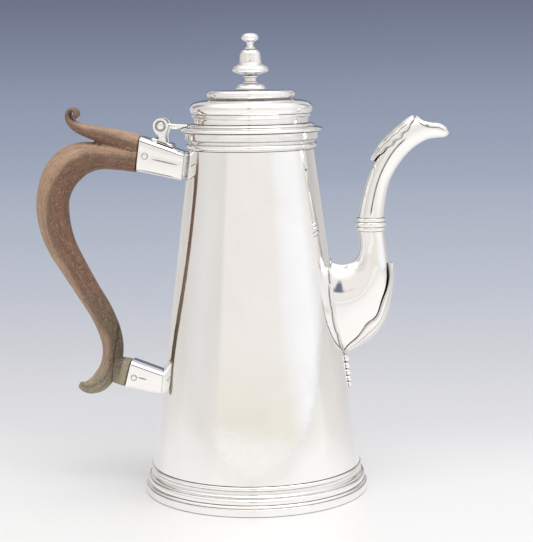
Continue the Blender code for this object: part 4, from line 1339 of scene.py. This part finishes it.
def make_tent():
    """Soft light from all round the pot. Directions are turns from the front towards the spout,
    in radians, and heights are the upward part of a direction of length 1."""
    world = bpy.data.worlds.new("soft_tent")
    bpy.context.scene.world = world
    n = Nodes(world, "Background")
    direction = n.new("ShaderNodeTexCoord").outputs["Generated"]
    split = n.new("ShaderNodeSeparateXYZ", {"Vector": direction})
    x, y, z = (split.outputs[k] for k in "XYZ")
    turn = n.math("ARCTAN2", x, n.math("MULTIPLY", y, -1.0))
    round_it = n.spread(turn, -math.pi, math.pi)
    sides = n.ramp(round_it, [((degrees + 180) / 360, color) for degrees, color in AROUND])

    # Low in front, a beige table edge over white. Low beside the spout, a grey card.
    ahead = n.math("MULTIPLY", n.spread(turn, -1.0, -0.6), n.spread(turn, 0.8, 1.2, 1.0, 0.0))
    height = n.math("ADD", z, n.math("MULTIPLY", y, TABLE_SLOPE))
    sides = n.mix(n.math("MULTIPLY", ahead, n.spread(height, 0.020, -0.035)), sides, TABLE_BEIGE)
    sides = n.mix(n.math("MULTIPLY", ahead, n.spread(height, -0.046, -0.051)), sides, LOW_WHITE)
    by_spout = n.math("MULTIPLY", n.spread(turn, 1.25, 1.65), n.spread(turn, 2.05, 2.35, 1.0, 0.0))
    sides = n.mix(n.math("MULTIPLY", by_spout, n.spread(z, 0.010, -0.020)), sides, LOW_GREY)
    color = n.mix(n.spread(z, 0.55, 0.85), sides, OVERHEAD)

    # A dark stand in front, just above the height that the body mirrors.
    off_stand = n.math("ABSOLUTE", n.math("SUBTRACT", turn, STAND_TURN))
    stand_height = n.math("MULTIPLY", n.spread(z, 0.215, 0.250), n.spread(z, 0.45, 0.65, 1.0, 0.0))
    stand = n.math("MULTIPLY", n.spread(off_stand, 0.050, 0.085, 1.0, 0.0), stand_height)
    n.set(n.shader, "Color", n.mix(stand, color, DARK_STAND))
    n.shader.inputs["Strength"].default_value = 1.0


def make_lamp():
    """A broad soft box overhead, a little in front of the pot and towards the spout."""
    lamp = bpy.data.lights.new("overhead_box", "AREA")
    lamp.shape = "RECTANGLE"
    lamp.size = 1.4
    lamp.size_y = 1.0
    lamp.energy = LAMP_POWER
    lamp.color = LAMP_COLOR
    obj = bpy.data.objects.new("overhead_box", lamp)
    bpy.context.scene.collection.objects.link(obj)
    obj.location = LAMP_SPOT
    obj.rotation_euler = (LAMP_AIM - LAMP_SPOT).to_track_quat("-Z", "Y").to_euler()
    obj.visible_camera = False


# The camera's place in metres, its turns in degrees and its lens in millimetres.
CAMERA_SPOT = Vector((0.0877, -0.7171, 0.2076))
CAMERA_TURN = 6.0
CAMERA_DOWN = 7.95
CAMERA_ROLL = -0.835
CAMERA_LENS = 99.8


def make_camera():
    """The camera stands in front of the pot, a little towards the spout and a hand above it."""
    camera = bpy.data.cameras.new("camera")
    camera.sensor_width = 36.0
    camera.lens = CAMERA_LENS
    camera.clip_start = 0.05
    camera.clip_end = 20.0
    obj = bpy.data.objects.new("camera", camera)
    bpy.context.scene.collection.objects.link(obj)
    turn = Matrix.Rotation(math.radians(CAMERA_TURN), 4, "Z")
    tilt = Matrix.Rotation(math.radians(90.0 - CAMERA_DOWN), 4, "X")
    roll = Matrix.Rotation(math.radians(CAMERA_ROLL), 4, "Z")
    obj.matrix_world = Matrix.Translation(CAMERA_SPOT) @ turn @ tilt @ roll
    bpy.context.scene.camera = obj


def finish_cad_nodes():
    """Gives the inner CAD pieces that stay in view their own silver."""
    for node in ("base_plate", "finial_stud", "finial_washer", "finial_nut"):
        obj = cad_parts[node]
        for slot in obj.material_slots:
            slot.material = SILVER_INSIDE


def main():
    make_camera()
    make_body()
    make_lid()
    make_finial()
    make_hinge()
    make_sockets()
    make_handle()
    make_spout()
    finish_cad_nodes()
    make_stage()
    make_tent()
    make_lamp()
    bpy.context.scene.view_settings.view_transform = "Standard"


main()
